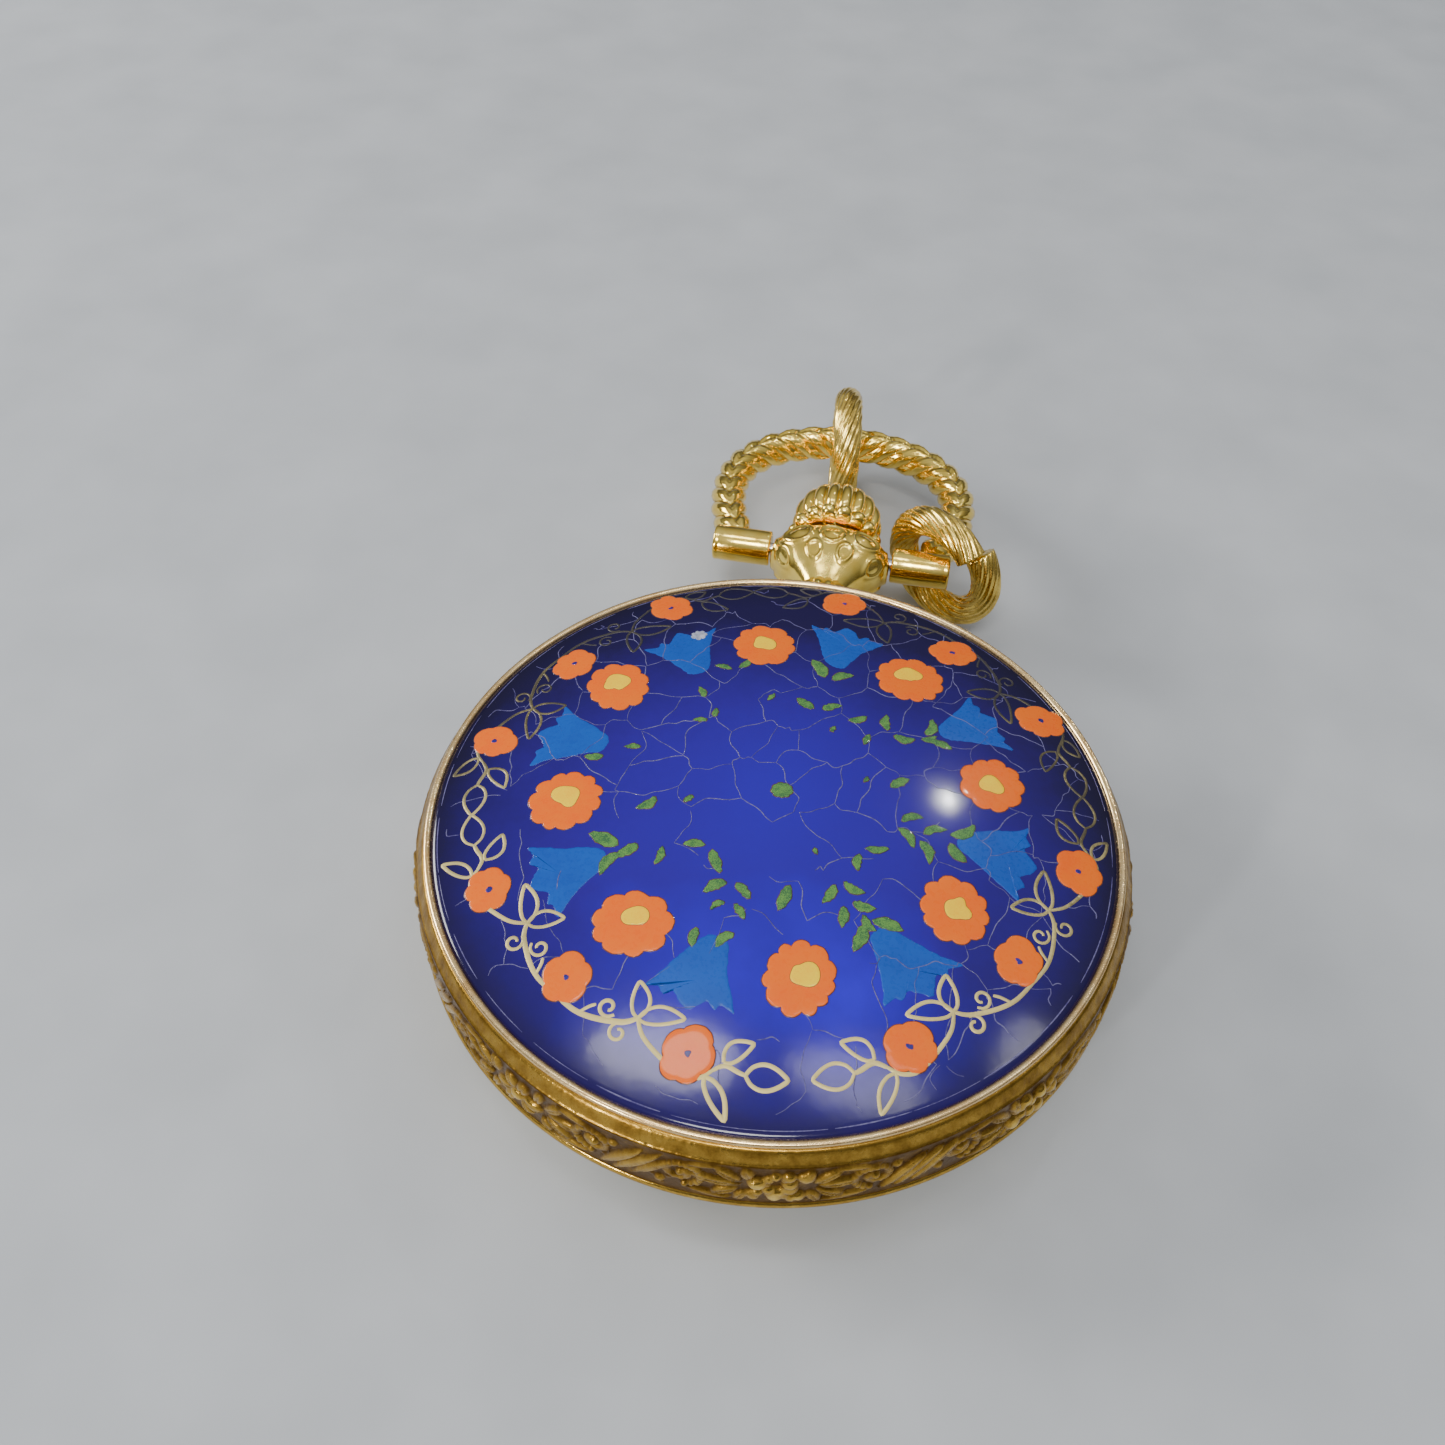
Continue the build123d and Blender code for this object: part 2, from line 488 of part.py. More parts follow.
def build_train():
    bore = 0.2
    to_third = bearing(CENTRE, THIRD)
    centre = gear(CENTRE_MESH[0], CENTRE_MESH[1], 3.35, 3.5, to_third)
    centre = centre - spoke_windows(2.9, 0.8, 4, 0.4, 3.35, 3.5, CENTRE)
    phase = facing_gap(BARREL_MESH[2], bearing(CENTRE, BARREL))
    centre = centre + gear(BARREL_MESH[0], BARREL_MESH[2], 3.92, 4.2, phase)
    parts["centre_wheel"] = centre + disc(bore, 1.4, 5.2)
    phases = (bearing(THIRD, FOURTH), facing_gap(CENTRE_MESH[2], to_third + math.pi))
    parts["third_wheel"] = wheel_and_pinion(
        THIRD, THIRD_MESH[:2], (CENTRE_MESH[0], CENTRE_MESH[2]), (4.5, 4.65), (3.28, 3.62),
        (3.12, 5.15, 0.14), phases)
    phases = (bearing(FOURTH, ESCAPE), facing_gap(THIRD_MESH[2], bearing(FOURTH, THIRD)))
    parts["fourth_wheel"] = wheel_and_pinion(
        FOURTH, FOURTH_MESH[:2], (THIRD_MESH[0], THIRD_MESH[2]), (4.0, 4.15), (4.38, 4.75),
        (3.12, 5.15, 0.12), phases)
    escape = gear(ESCAPE_MODULE, ESCAPE_TEETH, 3.55, 3.7, math.radians(4.0), ESCAPE)
    escape = escape - spoke_windows(0.8, 0.35, 4, 0.2, 3.55, 3.7, ESCAPE)
    phase = facing_gap(FOURTH_MESH[2], bearing(ESCAPE, FOURTH))
    escape = escape + gear(FOURTH_MESH[0], FOURTH_MESH[2], 3.92, 4.25, phase, ESCAPE)
    escape = escape + disc(0.15, 3.45, 5.0, ESCAPE)
    parts["escape_wheel"] = escape + disc(PIVOT, 3.15, 5.15, ESCAPE)


def build_escapement():
    low, high = 3.55, 3.7
    fork = disc(0.3, low, high) + bar((0, 0), (2.3, 0), 0.2, low, high)
    prongs = block(0.45, 0.5, high - low, at=(2.45, 0, (low + high) / 2))
    fork = fork + prongs - block(0.4, 0.16, 1, at=(2.56, 0, low))
    for side in (-1, 1):
        fork = fork + bar((0, 0), (-0.15, side * 0.95), 0.22, low, high)
        stone = Pos(-0.33, side * 0.95, (low + high) / 2) * Box(0.4, 0.16, high - low)
        fork = fork + stone
    fork = fork + disc(0.12, 3.45, 3.9) + disc(PIVOT, 3.15, 4.1)
    turn = math.degrees(bearing(PALLET, BALANCE))
    parts["pallet_fork"] = Pos(PALLET[0], PALLET[1], 0) * Rot(0, 0, turn) * fork
    arms = Pos(BALANCE[0], BALANCE[1], 4.4) * Rot(0, 0, 35) * Box(5.3, 0.3, 0.2)
    spokes = (arms & disc(2.7, 4.3, 4.5, BALANCE)) + disc(0.4, 4.3, 4.5, BALANCE)
    rim = hoop(2.9, 2.5, 4.3, 4.5, BALANCE) + spokes
    parts["balance_wheel"] = rim - disc(0.15, 4, 5, BALANCE)
    staff = disc(0.15, 3.5, 4.6, BALANCE) + disc(0.3, 4.5, 4.6, BALANCE)
    staff = staff + disc(PIVOT, 3.15, 5.15, BALANCE) + disc(0.5, 3.78, 3.9, BALANCE)
    pin_at = polar(0.38, bearing(BALANCE, PALLET), BALANCE)
    parts["balance_staff"] = staff + disc(0.05, 3.52, 3.78, pin_at)
    parts["hairspring"] = spiral(0.32, 1.9, 7, 0.06, 4.62, 4.72, BALANCE)
    top = BRIDGE_HIGH + 0.12
    tip = polar(1.9, math.radians(100.0), BALANCE)
    pointer = disc(0.75, BRIDGE_HIGH, top, BALANCE) + bar(BALANCE, tip, 0.2, BRIDGE_HIGH, top)
    parts["regulator"] = pointer - disc(0.3, 5, 6, BALANCE)


def build_keyless():
    lever_at = (2.6, 8.15)
    lever_pin = (0.0, 8.45)
    low, high = LEVER_LEVEL
    lever = disc(0.45, low, high, lever_at) + bar(lever_at, lever_pin, 0.5, low, high)
    lever = lever + bar(lever_at, (3.6, 7.6), 0.4, low, high) + disc(0.12, high, 3.7, lever_pin)
    parts["setting_lever"] = lever - disc(0.17, 2, 4, lever_at)
    yoke_at = (-2.6, 6.35)
    low, high = YOKE_LEVEL
    yoke = disc(0.4, low, high, yoke_at) + bar(yoke_at, (0, 6.62), 0.36, low, high)
    yoke = yoke + bar(yoke_at, (-4.6, 7.0), 0.3, low, high) + disc(0.12, high, 3.25, (0, 6.6))
    parts["yoke"] = yoke - disc(0.17, 2, 4, yoke_at)
    for at in (lever_at, yoke_at):
        parts["main_plate"] = parts["main_plate"] + disc(0.14, 2.6, PLATE_LOW + 0.1, at)


build_case()
build_pendant()
build_crown()
build_bow()
build_dial()
build_plate()
build_bridges()
build_barrel()
build_train()
build_escapement()
build_keyless()

os.makedirs("parts", exist_ok=True)
for name, shape in parts.items():
    export_step(shape, f"parts/{name}.step")
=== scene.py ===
import json
import math
import random

import bpy
import numpy as np
from mathutils import Matrix, Vector
from mathutils.geometry import delaunay_2d_cdt


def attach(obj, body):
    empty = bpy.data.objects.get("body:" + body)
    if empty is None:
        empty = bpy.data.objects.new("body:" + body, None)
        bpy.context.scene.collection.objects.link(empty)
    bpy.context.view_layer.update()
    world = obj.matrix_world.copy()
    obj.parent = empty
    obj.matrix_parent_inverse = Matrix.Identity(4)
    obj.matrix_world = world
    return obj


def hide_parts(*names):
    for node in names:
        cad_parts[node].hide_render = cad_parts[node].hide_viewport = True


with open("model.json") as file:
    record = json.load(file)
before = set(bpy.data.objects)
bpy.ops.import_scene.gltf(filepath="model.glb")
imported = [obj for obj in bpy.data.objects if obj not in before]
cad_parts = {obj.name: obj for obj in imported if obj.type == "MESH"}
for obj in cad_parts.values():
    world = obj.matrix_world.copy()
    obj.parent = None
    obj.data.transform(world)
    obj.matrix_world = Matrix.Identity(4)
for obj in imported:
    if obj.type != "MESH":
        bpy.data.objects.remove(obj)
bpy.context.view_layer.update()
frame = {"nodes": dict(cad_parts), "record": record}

# Lengths are in millimetres until a mesh is made. The frame is the CAD's: the case axis is Z, the
# crown and the bow are towards +Y and the enamelled back is uppermost.
MM = 0.001
DOME_TOP = 7.7
DOME_SPHERE = 56.65
ENAMEL_RADIUS = 13.12
STEM_HEIGHT = 4.0
BAND_RADIUS = 13.8
BAND_UNITS = 9
BULB_HALF_WIDTH = 2.84
BOW_PIVOT = 17.65
BOW_TILT = -0.1
RING_CUT = 3.93
# Flowers as (radius, angle in degrees) and bells as angles, round the case axis.
BIG_FLOWERS = ((8.29, 102.2), (8.63, 59.0), (8.43, 16.5), (7.98, -27.4), (7.77, -74.6),
               (7.64, -122.2), (7.98, -168.6), (8.62, 147.4))
SMALL_FLOWERS = ((11.94, 121.5), (12.02, 84.4), (11.54, 58.0), (11.95, 34.0), (11.57, -3.3),
                 (10.75, -28.1), (10.91, -56.3), (10.83, -96.3), (10.55, -123.8), (11.2, -149.5),
                 (11.58, 173.9), (11.14, 148.0))
BELLS = (125, 80, 37, -5, -49, -99, -146, 169)
# Leaflet sprigs as (radius, angle in degrees, number of leaves, length).
SPRIGS = ((6.6, 80, 2, 1.15), (4.7, 78, 2, 0.9), (4.8, 62, 1, 0.8), (4.3, 46, 1, 0.6),
          (6.8, 37, 3, 1.15), (5.6, 45, 2, 0.9), (4.4, 15, 1, 0.9), (4.8, -6, 2, 0.95),
          (5.7, -9, 2, 1.05), (6.7, -6, 2, 1.2), (4.1, -30, 2, 0.9), (4.6, -51, 2, 1.0),
          (5.5, -53, 2, 0.85), (6.4, -50, 3, 1.3), (4.2, -74, 1, 1.1), (4.4, -102, 2, 0.95),
          (5.2, -99, 2, 0.7), (6.5, -106, 1, 0.8), (6.3, -94, 1, 0.85), (6.3, -146, 2, 1.25),
          (5.6, -145, 1, 0.95), (4.9, -139, 1, 0.8), (3.6, -124, 2, 1.0), (4.5, -167, 1, 0.9),
          (3.1, -165, 1, 0.45), (6.9, 174, 1, 0.8), (5.7, 166, 1, 0.65), (5.7, 129, 1, 0.65),
          (6.9, 113, 2, 0.8), (4.5, 134, 2, 0.6), (4.8, 103, 1, 0.5), (3.4, 20, 1, 0.35),
          (2.9, -52, 1, 0.3), (3.8, 64, 1, 0.35))
# Lamps as (name, place, width, height, power in watts). Each one faces the watch.
LAMPS = (("window_left", (-62, 16, 330), 100, 46, 0.13),
         ("window_right", (62, 22, 330), 90, 40, 0.055),
         ("window_side", (185, 70, 330), 50, 60, 0.045),
         ("front_sky", (0, -170, 290), 130, 70, 0.55),
         ("side_lamp", (-300, 60, 150), 90, 170, 0.9),
         ("front_lamp", (-150, -270, 110), 24, 24, 0.4),
         ("bulb", (72, 192, 214), 6, 6, 0.035))
chance = random.Random(7)


def jitter(amount):
    """A random number no further from zero than the amount."""
    return chance.uniform(-amount, amount)


def full_turn(count):
    return np.linspace(0, math.tau, count, endpoint=False)


# Meshes

def grid_faces(rows, columns, close_rows=False, close_columns=False):
    """Quads of a grid of points, joined to itself where it is closed."""
    row = np.arange(rows if close_rows else rows - 1)
    column = np.arange(columns if close_columns else columns - 1)
    row, column = np.meshgrid(row, column, indexing="ij")
    below = (row + 1) % rows
    beside = (column + 1) % columns
    corners = (row * columns + column, row * columns + beside,
               below * columns + beside, below * columns + column)
    return np.stack(corners, axis=-1).reshape(-1, 4)


def shown(name, data):
    """An object in the scene that shows a mesh, a lamp or a camera."""
    made = bpy.data.objects.new(name, data)
    bpy.context.scene.collection.objects.link(made)
    return made


def piece(name, points, faces, material, body, stands_for=()):
    """A smooth mesh from points in millimetres that rides on a CAD body."""
    data = bpy.data.meshes.new(name)
    data.from_pydata((np.asarray(points, float).reshape(-1, 3) * MM).tolist(), [],
                     [list(map(int, face)) for face in faces])
    data.validate()
    data.shade_smooth()
    data.materials.append(material)
    made = shown(name, data)
    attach(made, body)
    if stands_for:
        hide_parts(*stands_for)
    return made


def closed_tube(rings):
    """Points and faces of a tube through rings of points, with a fan over each end."""
    rings = np.asarray(rings, float)
    count, around, _ = rings.shape
    points = np.vstack((rings.reshape(-1, 3), rings[0].mean(axis=0), rings[-1].mean(axis=0)))
    first, last = len(points) - 2, len(points) - 1
    base = (count - 1) * around
    faces = [tuple(face) for face in grid_faces(count, around, close_columns=True)]
    faces += [(first, (k + 1) % around, k) for k in range(around)]
    faces += [(last, base + k, base + (k + 1) % around) for k in range(around)]
    return points, faces


class Heap:
    """Collects several shapes into one mesh."""

    def __init__(self):
        self.points = []
        self.faces = []

    def add(self, points, faces):
        start = len(self.points)
        self.points.extend(np.asarray(points, float).tolist())
        self.faces.extend(tuple(start + k for k in face) for face in faces)

    def on_back(self, name, material):
        """Makes the collected shapes one painted piece of the enamelled back."""
        piece(name, self.points, self.faces, material, "back")


def smooth_path(corners, steps, closed=False):
    """Points on a curve through the corners, with so many steps to each span."""
    corners = [np.array(corner, float) for corner in corners]
    count = len(corners)
    spans = count if closed else count - 1
    found = []
    for k in range(spans):
        if closed:
            a, b, c, d = (corners[(k + j) % count] for j in (-1, 0, 1, 2))
        else:
            a, b = corners[max(k - 1, 0)], corners[k]
            c, d = corners[k + 1], corners[min(k + 2, count - 1)]
        for step in range(steps):
            t = step / steps
            found.append(0.5 * (2 * b + (c - a) * t + (2 * a - 5 * b + 4 * c - d) * t ** 2
                                + (3 * b - a - 3 * c + d) * t ** 3))
    if not closed:
        found.append(corners[-1])
    return np.array(found)


# Enamel surface

def dome(x, y):
    """Height of the enamel, with the slight waves of hand polishing."""
    ideal = DOME_TOP - DOME_SPHERE + np.sqrt(DOME_SPHERE ** 2 - x ** 2 - y ** 2)
    waves = np.sin(1.1 * x + 0.4 * y + 0.6) + np.sin(0.7 * y - 0.9 * x + 2.0)
    waves = waves + 0.6 * np.sin(1.9 * y + 0.8 * x)
    return ideal + 0.0022 * waves


def on_dome(points, lift):
    """Flat points raised to the enamel, and above it by the lift."""
    points = np.asarray(points, float)
    return np.column_stack((points, dome(points[:, 0], points[:, 1]) + lift))


def towards(angle):
    """The unit vector at an angle in radians."""
    return np.array((math.cos(angle), math.sin(angle)))


def spot_at(radius, angle):
    """The point at a radius and an angle in degrees from the case axis."""
    return radius * towards(math.radians(angle))


def round_case(radius, angle):
    """The point at a radius and an angle in degrees, on a pattern that is slightly oval."""
    oval_limit = 12.4
    if radius < oval_limit:
        radius = radius * (1 + 0.05 * math.sin(math.radians(angle + 10)))
    return spot_at(radius, angle)


def paint_patch(heap, outline, lift):
    """A patch of paint with a soft edge that sinks into the enamel."""
    outline = np.asarray(outline, float)
    centre = outline.mean(axis=0)
    count = len(outline)
    layers = ((1.0, -0.012), (0.972, 0.75 * lift), (0.93, lift), (0.75, lift), (0.5, lift),
              (0.25, lift))
    points = np.vstack([on_dome(centre + (outline - centre) * scale, height)
                        for scale, height in layers] + [on_dome([centre], lift)])
    faces = [tuple(face) for face in grid_faces(len(layers), count, close_columns=True)]
    base = (len(layers) - 1) * count
    faces += [(base + k, base + (k + 1) % count, len(points) - 1) for k in range(count)]
    if np.cross(outline[1] - outline[0], centre - outline[0]) < 0:
        faces = [face[::-1] for face in faces]
    heap.add(points, faces)


def paint_line(heap, path, width, lift, taper):
    """A brushed line with a rounded top. The taper narrows its ends."""
    path = np.asarray(path, float)
    along = np.gradient(path, axis=0)
    along /= np.maximum(np.linalg.norm(along, axis=1, keepdims=True), 1e-9)
    side = np.column_stack((-along[:, 1], along[:, 0]))
    place = np.linspace(0, 1, len(path))
    half = width / 2 * (1 - taper + taper * np.sin(math.pi * place) ** 0.5)
    rows = [on_dome(path + side * (half * across)[:, None], height)
            for across, height in ((-1.0, -0.012), (-0.72, lift * 0.7), (0.0, lift),
                                   (0.72, lift * 0.7), (1.0, -0.012))]
    points = np.stack(rows, axis=1).reshape(-1, 3)
    heap.add(points, grid_faces(len(path), len(rows))[:, ::-1])


def petals(centre, radius, lobes, depth, stretch=0.08, steps=10):
    """An uneven scalloped outline."""
    widths = [chance.uniform(0.75, 1.25) for _ in range(lobes)]
    total = sum(widths)
    start = chance.uniform(0, 360)
    lean = chance.uniform(0, 180)
    squeeze = chance.uniform(0.3, 1.0) * stretch
    outline = []
    for width in widths:
        span = 360 * width / total
        tall = chance.uniform(0.7, 1.15)
        skew = chance.uniform(0.75, 1.35)
        for step in range(steps):
            t = step / steps
            bulge = math.sin(math.pi * t ** skew) ** 0.75
            size = radius * (1 - depth + depth * tall * bulge)
            angle = math.radians(start + span * t)
            size *= 1 + squeeze * math.cos(2 * (angle - math.radians(lean)))
            size *= 1 + jitter(0.008)
            outline.append(centre + size * towards(angle))
        start += span
    return np.array(outline)


def blob(centre, radius, unevenness=0.2, steps=28):
    """An uneven round dab."""
    waves = [(k, chance.uniform(0, unevenness / k), chance.uniform(0, 6.28)) for k in (1, 2, 3, 4)]
    outline = []
    for step in range(steps):
        angle = math.tau * step / steps
        size = radius * (1 + sum(tall * math.cos(k * angle + phase) for k, tall, phase in waves))
        outline.append(centre + size * towards(angle))
    return np.array(outline)


def leaf(base, tip, width, steps=10, lean=0.0, blunt=0.8):
    """A leaf outline from its base to its tip, rounder for a smaller bluntness power."""
    base = np.asarray(base, float)
    tip = np.asarray(tip, float)
    run = tip - base
    side = np.array((-run[1], run[0])) / np.linalg.norm(run)
    place = np.linspace(0, 1, steps)
    swell = np.sin(math.pi * place ** 0.85) ** blunt
    bow = lean * np.sin(math.pi * place)
    right = [base + run * t + side * (b + width / 2 * s) for t, s, b in zip(place, swell, bow)]
    left = [base + run * t + side * (b - width / 2 * s) for t, s, b in zip(place, swell, bow)]
    return np.array(right + left[-2:0:-1])


def grown(outline, border):
    """An outline moved outwards by about the border."""
    centre = outline.mean(axis=0)
    reach = np.linalg.norm(outline - centre, axis=1, keepdims=True)
    return centre + (outline - centre) * (1 + border / np.maximum(reach, 0.05))


# Materials

def shader(name):
    material = bpy.data.materials.new(name)
    material.use_nodes = True
    tree = material.node_tree
    tree.nodes.clear()
    out = tree.nodes.new("ShaderNodeOutputMaterial")
    surface = tree.nodes.new("ShaderNodeBsdfPrincipled")
    tree.links.new(surface.outputs[0], out.inputs[0])
    return material, tree, surface


def set_inputs(tree, node, values):
    """Sets a node's inputs to values, or joins them to sockets."""
    for key, value in values.items():
        if isinstance(value, bpy.types.NodeSocket):
            tree.links.new(value, node.inputs[key])
        else:
            node.inputs[key].default_value = value


def add(tree, kind, inputs, **settings):
    """A node with its inputs set to values or joined to sockets."""
    made = tree.nodes.new("ShaderNode" + kind)
    for key, value in settings.items():
        setattr(made, key, value)
    set_inputs(tree, made, inputs)
    return made


def math_node(tree, operation, first, second):
    return add(tree, "Math", {0: first, 1: second}, operation=operation).outputs[0]


def vector_node(tree, operation, first, second):
    return add(tree, "VectorMath", {0: first, 1: second}, operation=operation).outputs[0]


def length_of(tree, vector):
    return add(tree, "VectorMath", {0: vector}, operation="LENGTH").outputs["Value"]


def place_in_mm(tree):
    coordinates = tree.nodes.new("ShaderNodeTexCoord").outputs["Object"]
    return add(tree, "VectorMath", {0: coordinates, "Scale": 1000.0}, operation="SCALE").outputs[0]


def noise(tree, place, scale, detail=3.0, roughness=0.5):
    inputs = {"Vector": place, "Scale": scale, "Detail": detail, "Roughness": roughness}
    return add(tree, "TexNoise", inputs).outputs[0]


def ramp(tree, value, stops):
    """A colour ramp from (position, colour) stops."""
    made = add(tree, "ValToRGB", {"Fac": value})
    band = made.color_ramp
    while len(band.elements) < len(stops):
        band.elements.new(0.5)
    for element, (position, colour) in zip(band.elements, stops):
        element.position = position
        element.color = (*colour, 1.0)
    return made.outputs[0]


def spread(tree, value, low, high, start=0.3, end=0.7):
    inputs = {"Value": value, "From Min": start, "From Max": end, "To Min": low, "To Max": high}
    return add(tree, "MapRange", inputs).outputs[0]


def bumps(tree, height, strength, depth):
    """A normal that shows a height as relief, its depth in millimetres."""
    inputs = {"Strength": strength, "Distance": depth * MM, "Height": height}
    return add(tree, "Bump", inputs).outputs[0]


def metal(name, light, dark, shine, dull, grain=1.2, relief=0.004, stretch=None):
    """A metal with uneven polish. The grain can be stretched along one direction."""
    material, tree, surface = shader(name)
    place = place_in_mm(tree)
    if stretch:
        place = vector_node(tree, "MULTIPLY", place, stretch)
    broad = noise(tree, place, grain, 4.0)
    fine = noise(tree, place, grain * 9, 2.0, 0.6)
    set_inputs(tree, surface, {
        "Base Color": ramp(tree, broad, ((0.3, dark), (0.62, light))),
        "Roughness": spread(tree, fine, shine, dull),
        "Metallic": 1.0,
        "Normal": bumps(tree, fine, 0.35, relief)})
    return material


def chased_metal(name, light, patina):
    """Gold with a brown patina in its recesses, painted highlights on its highest relief and mid
    tones darkened as painted shade, driven by the relief stored on the mesh.
    """
    material, tree, surface = shader(name)
    place = place_in_mm(tree)
    height = add(tree, "Attribute", {}, attribute_name="relief").outputs["Fac"]
    stain = noise(tree, place, 1.6, 4.0)
    fine = noise(tree, place, 14.0, 3.0, 0.65)
    shade_and_wear = math_node(tree, "ADD", height, spread(tree, stain, -0.18, 0.18))
    shade_and_wear = math_node(tree, "ADD", shade_and_wear, spread(tree, fine, -0.08, 0.08))
    set_inputs(tree, surface, {
        # The brightest colour is a painted highlight on the highest relief; the dark mid tones are
        # painted shade.
        "Base Color": ramp(tree, shade_and_wear, ((0.02, patina), (0.3, (0.34, 0.19, 0.03)),
                                        (0.7, (0.62, 0.38, 0.07)), (0.95, light))),
        "Roughness": spread(tree, shade_and_wear, 0.34, 0.08, 0.3, 0.8),
        "Metallic": 1.0,
        "Normal": bumps(tree, fine, 0.5, 0.012)})
    return material


def paint(name, light, dark, patch, rough=0.22, coat=0.6, cover=0.12):
    """Enamel paint, a little uneven in strength, under a glossy flux."""
    material, tree, surface = shader(name)
    place = place_in_mm(tree)
    broad = noise(tree, place, patch, 3.0)
    fine = noise(tree, place, patch * 7, 3.0, 0.6)
    mixed = math_node(tree, "ADD", broad, spread(tree, fine, -cover, cover))
    set_inputs(tree, surface, {
        "Base Color": ramp(tree, mixed, ((0.3, dark), (0.65, light))),
        "Roughness": spread(tree, fine, rough, rough + 0.15),
        "Specular IOR Level": 0.15,
        "Coat Weight": coat,
        "Coat IOR": 1.32,
        "Coat Roughness": 0.06,
        "Normal": bumps(tree, fine, 0.25, 0.01)})
    return material


def gilding_with_painted_shade():
    """Painted gold lines: bright at the foot of the case, darkened towards the crown with painted
    shade.
    """
    material, tree, surface = shader("gilding_with_painted_shade")
    place = place_in_mm(tree)
    height = add(tree, "SeparateXYZ", {0: place}).outputs[1]
    stain = noise(tree, place, 0.6, 3.0)
    fine = noise(tree, place, 9.0, 3.0, 0.6)
    shifted = math_node(tree, "ADD", height, spread(tree, stain, -4.0, 4.0))
    shifted = math_node(tree, "ADD", shifted, spread(tree, fine, -1.5, 1.5))
    # The darkening along the case towards the crown is painted shade; the noise adds uneven tone.
    shade_and_wear = spread(tree, shifted, 0.0, 1.0, -11.0, 11.0)
    set_inputs(tree, surface, {
        "Base Color": ramp(tree, shade_and_wear, ((0.12, (0.62, 0.50, 0.19)), (0.42, (0.36, 0.30, 0.13)),
                                        (0.62, (0.13, 0.11, 0.06)), (0.85, (0.07, 0.065, 0.06)))),
        "Roughness": spread(tree, fine, 0.3, 0.5),
        "Metallic": spread(tree, shade_and_wear, 0.2, 0.6),
        "Specular IOR Level": 0.2})
    return material


def cobalt():
    """The enamel ground: bright cobalt in the middle, navy at the rim, painted shade towards the
    crown and a painted patch of light near the foot.
    """
    material, tree, surface = shader("cobalt_enamel")
    place = place_in_mm(tree)
    reach = length_of(tree, vector_node(tree, "MULTIPLY", place, (1.0, 1.0, 0.0)))
    height = add(tree, "SeparateXYZ", {0: place}).outputs[1]
    grain = noise(tree, place, 2.6, 5.0, 0.6)
    drift = spread(tree, noise(tree, place, 0.22, 3.0), -0.9, 0.9)

    moved = math_node(tree, "ADD", reach, drift)
    moved = math_node(tree, "ADD", moved, spread(tree, grain, -0.35, 0.35))
    # Darker towards the crown: painted shade on the far side of the dome.
    moved = math_node(tree, "ADD", moved, math_node(tree, "MULTIPLY", height, 0.3))
    share = math_node(tree, "DIVIDE", moved, ENAMEL_RADIUS)
    ground = ramp(tree, share, ((0.05, (0.018, 0.0, 0.30)), (0.35, (0.017, 0.0, 0.24)),
                                (0.7, (0.011, 0.0, 0.13)), (1.0, (0.004, 0.0, 0.04))))

    # A painted glow: a patch of painted light towards the foot of the case.
    thin = vector_node(tree, "ADD", place, (-1.5, 8.3, 0.0))
    thin = length_of(tree, vector_node(tree, "MULTIPLY", thin, (0.45, 1.0, 0.0)))
    thin = math_node(tree, "ADD", thin, drift)
    painted_glow = ramp(tree, spread(tree, thin, 0.0, 1.0, 0.0, 5.0),
                ((0.1, (1.3, 1.0, 2.2)), (0.45, (1.1, 1.0, 1.5)), (0.9, (1.0, 1.0, 1.0))))
    dim = ramp(tree, math_node(tree, "DIVIDE", reach, ENAMEL_RADIUS),
               ((0.84, (1.0, 1.0, 1.0)), (0.92, (0.7, 1.0, 0.75)), (0.98, (0.5, 1.0, 0.45))))
    for tint in (painted_glow, dim):
        ground = vector_node(tree, "MULTIPLY", ground, tint)
    set_inputs(tree, surface, {
        "Base Color": ground,
        "Roughness": spread(tree, grain, 0.1, 0.2),
        "Specular IOR Level": 0.1,
        "Coat Weight": 1.0,
        "Coat IOR": 1.38,
        "Coat Roughness": 0.1,
        "Coat Normal": bumps(tree, noise(tree, place, 0.9, 2.0), 0.3, 0.02)})
    return material


def glassy(name, tint, rough=0.02):
    material, tree, surface = shader(name)
    smear = noise(tree, place_in_mm(tree), 0.5, 3.0)
    deep = tuple(0.9 * channel for channel in tint)
    set_inputs(tree, surface, {
        "Base Color": ramp(tree, smear, ((0.3, deep), (0.7, tint))),
        "Roughness": spread(tree, smear, rough, rough + 0.03),
        "Transmission Weight": 1.0,
        "IOR": 1.5})
    return material


GOLD = metal("polished_gold", (1.0, 0.74, 0.17), (0.92, 0.62, 0.10), 0.1, 0.22)
RIM_GOLD = metal("rim_gold", (0.98, 0.72, 0.36), (0.80, 0.50, 0.20), 0.16, 0.3)
RING_GOLD = metal("drawn_gold", (1.0, 0.72, 0.17), (0.55, 0.36, 0.07), 0.14, 0.3, 1.6, 0.01)
CHASED = chased_metal("chased_gold", (1.0, 0.70, 0.18), (0.13, 0.062, 0.009))
BRASS = metal("gilt_brass", (0.86, 0.66, 0.33), (0.70, 0.50, 0.22), 0.24, 0.38, 2.0, 0.006,
              (6.0, 0.4, 1.0))
STEEL = metal("polished_steel", (0.66, 0.67, 0.70), (0.48, 0.49, 0.52), 0.14, 0.28, 2.0)
BLUED = metal("blued_steel", (0.05, 0.09, 0.40), (0.03, 0.03, 0.20), 0.14, 0.26, 2.0)
COBALT = cobalt()
ORANGE = paint("orange_paint", (0.76, 0.13, 0.0), (0.76, 0.105, 0.0), 0.7)
YELLOW = paint("yellow_paint", (0.85, 0.56, 0.0), (0.85, 0.48, 0.0), 1.6)
BELL = paint("bell_blue_paint", (0.003, 0.068, 0.36), (0.004, 0.056, 0.32), 0.8)
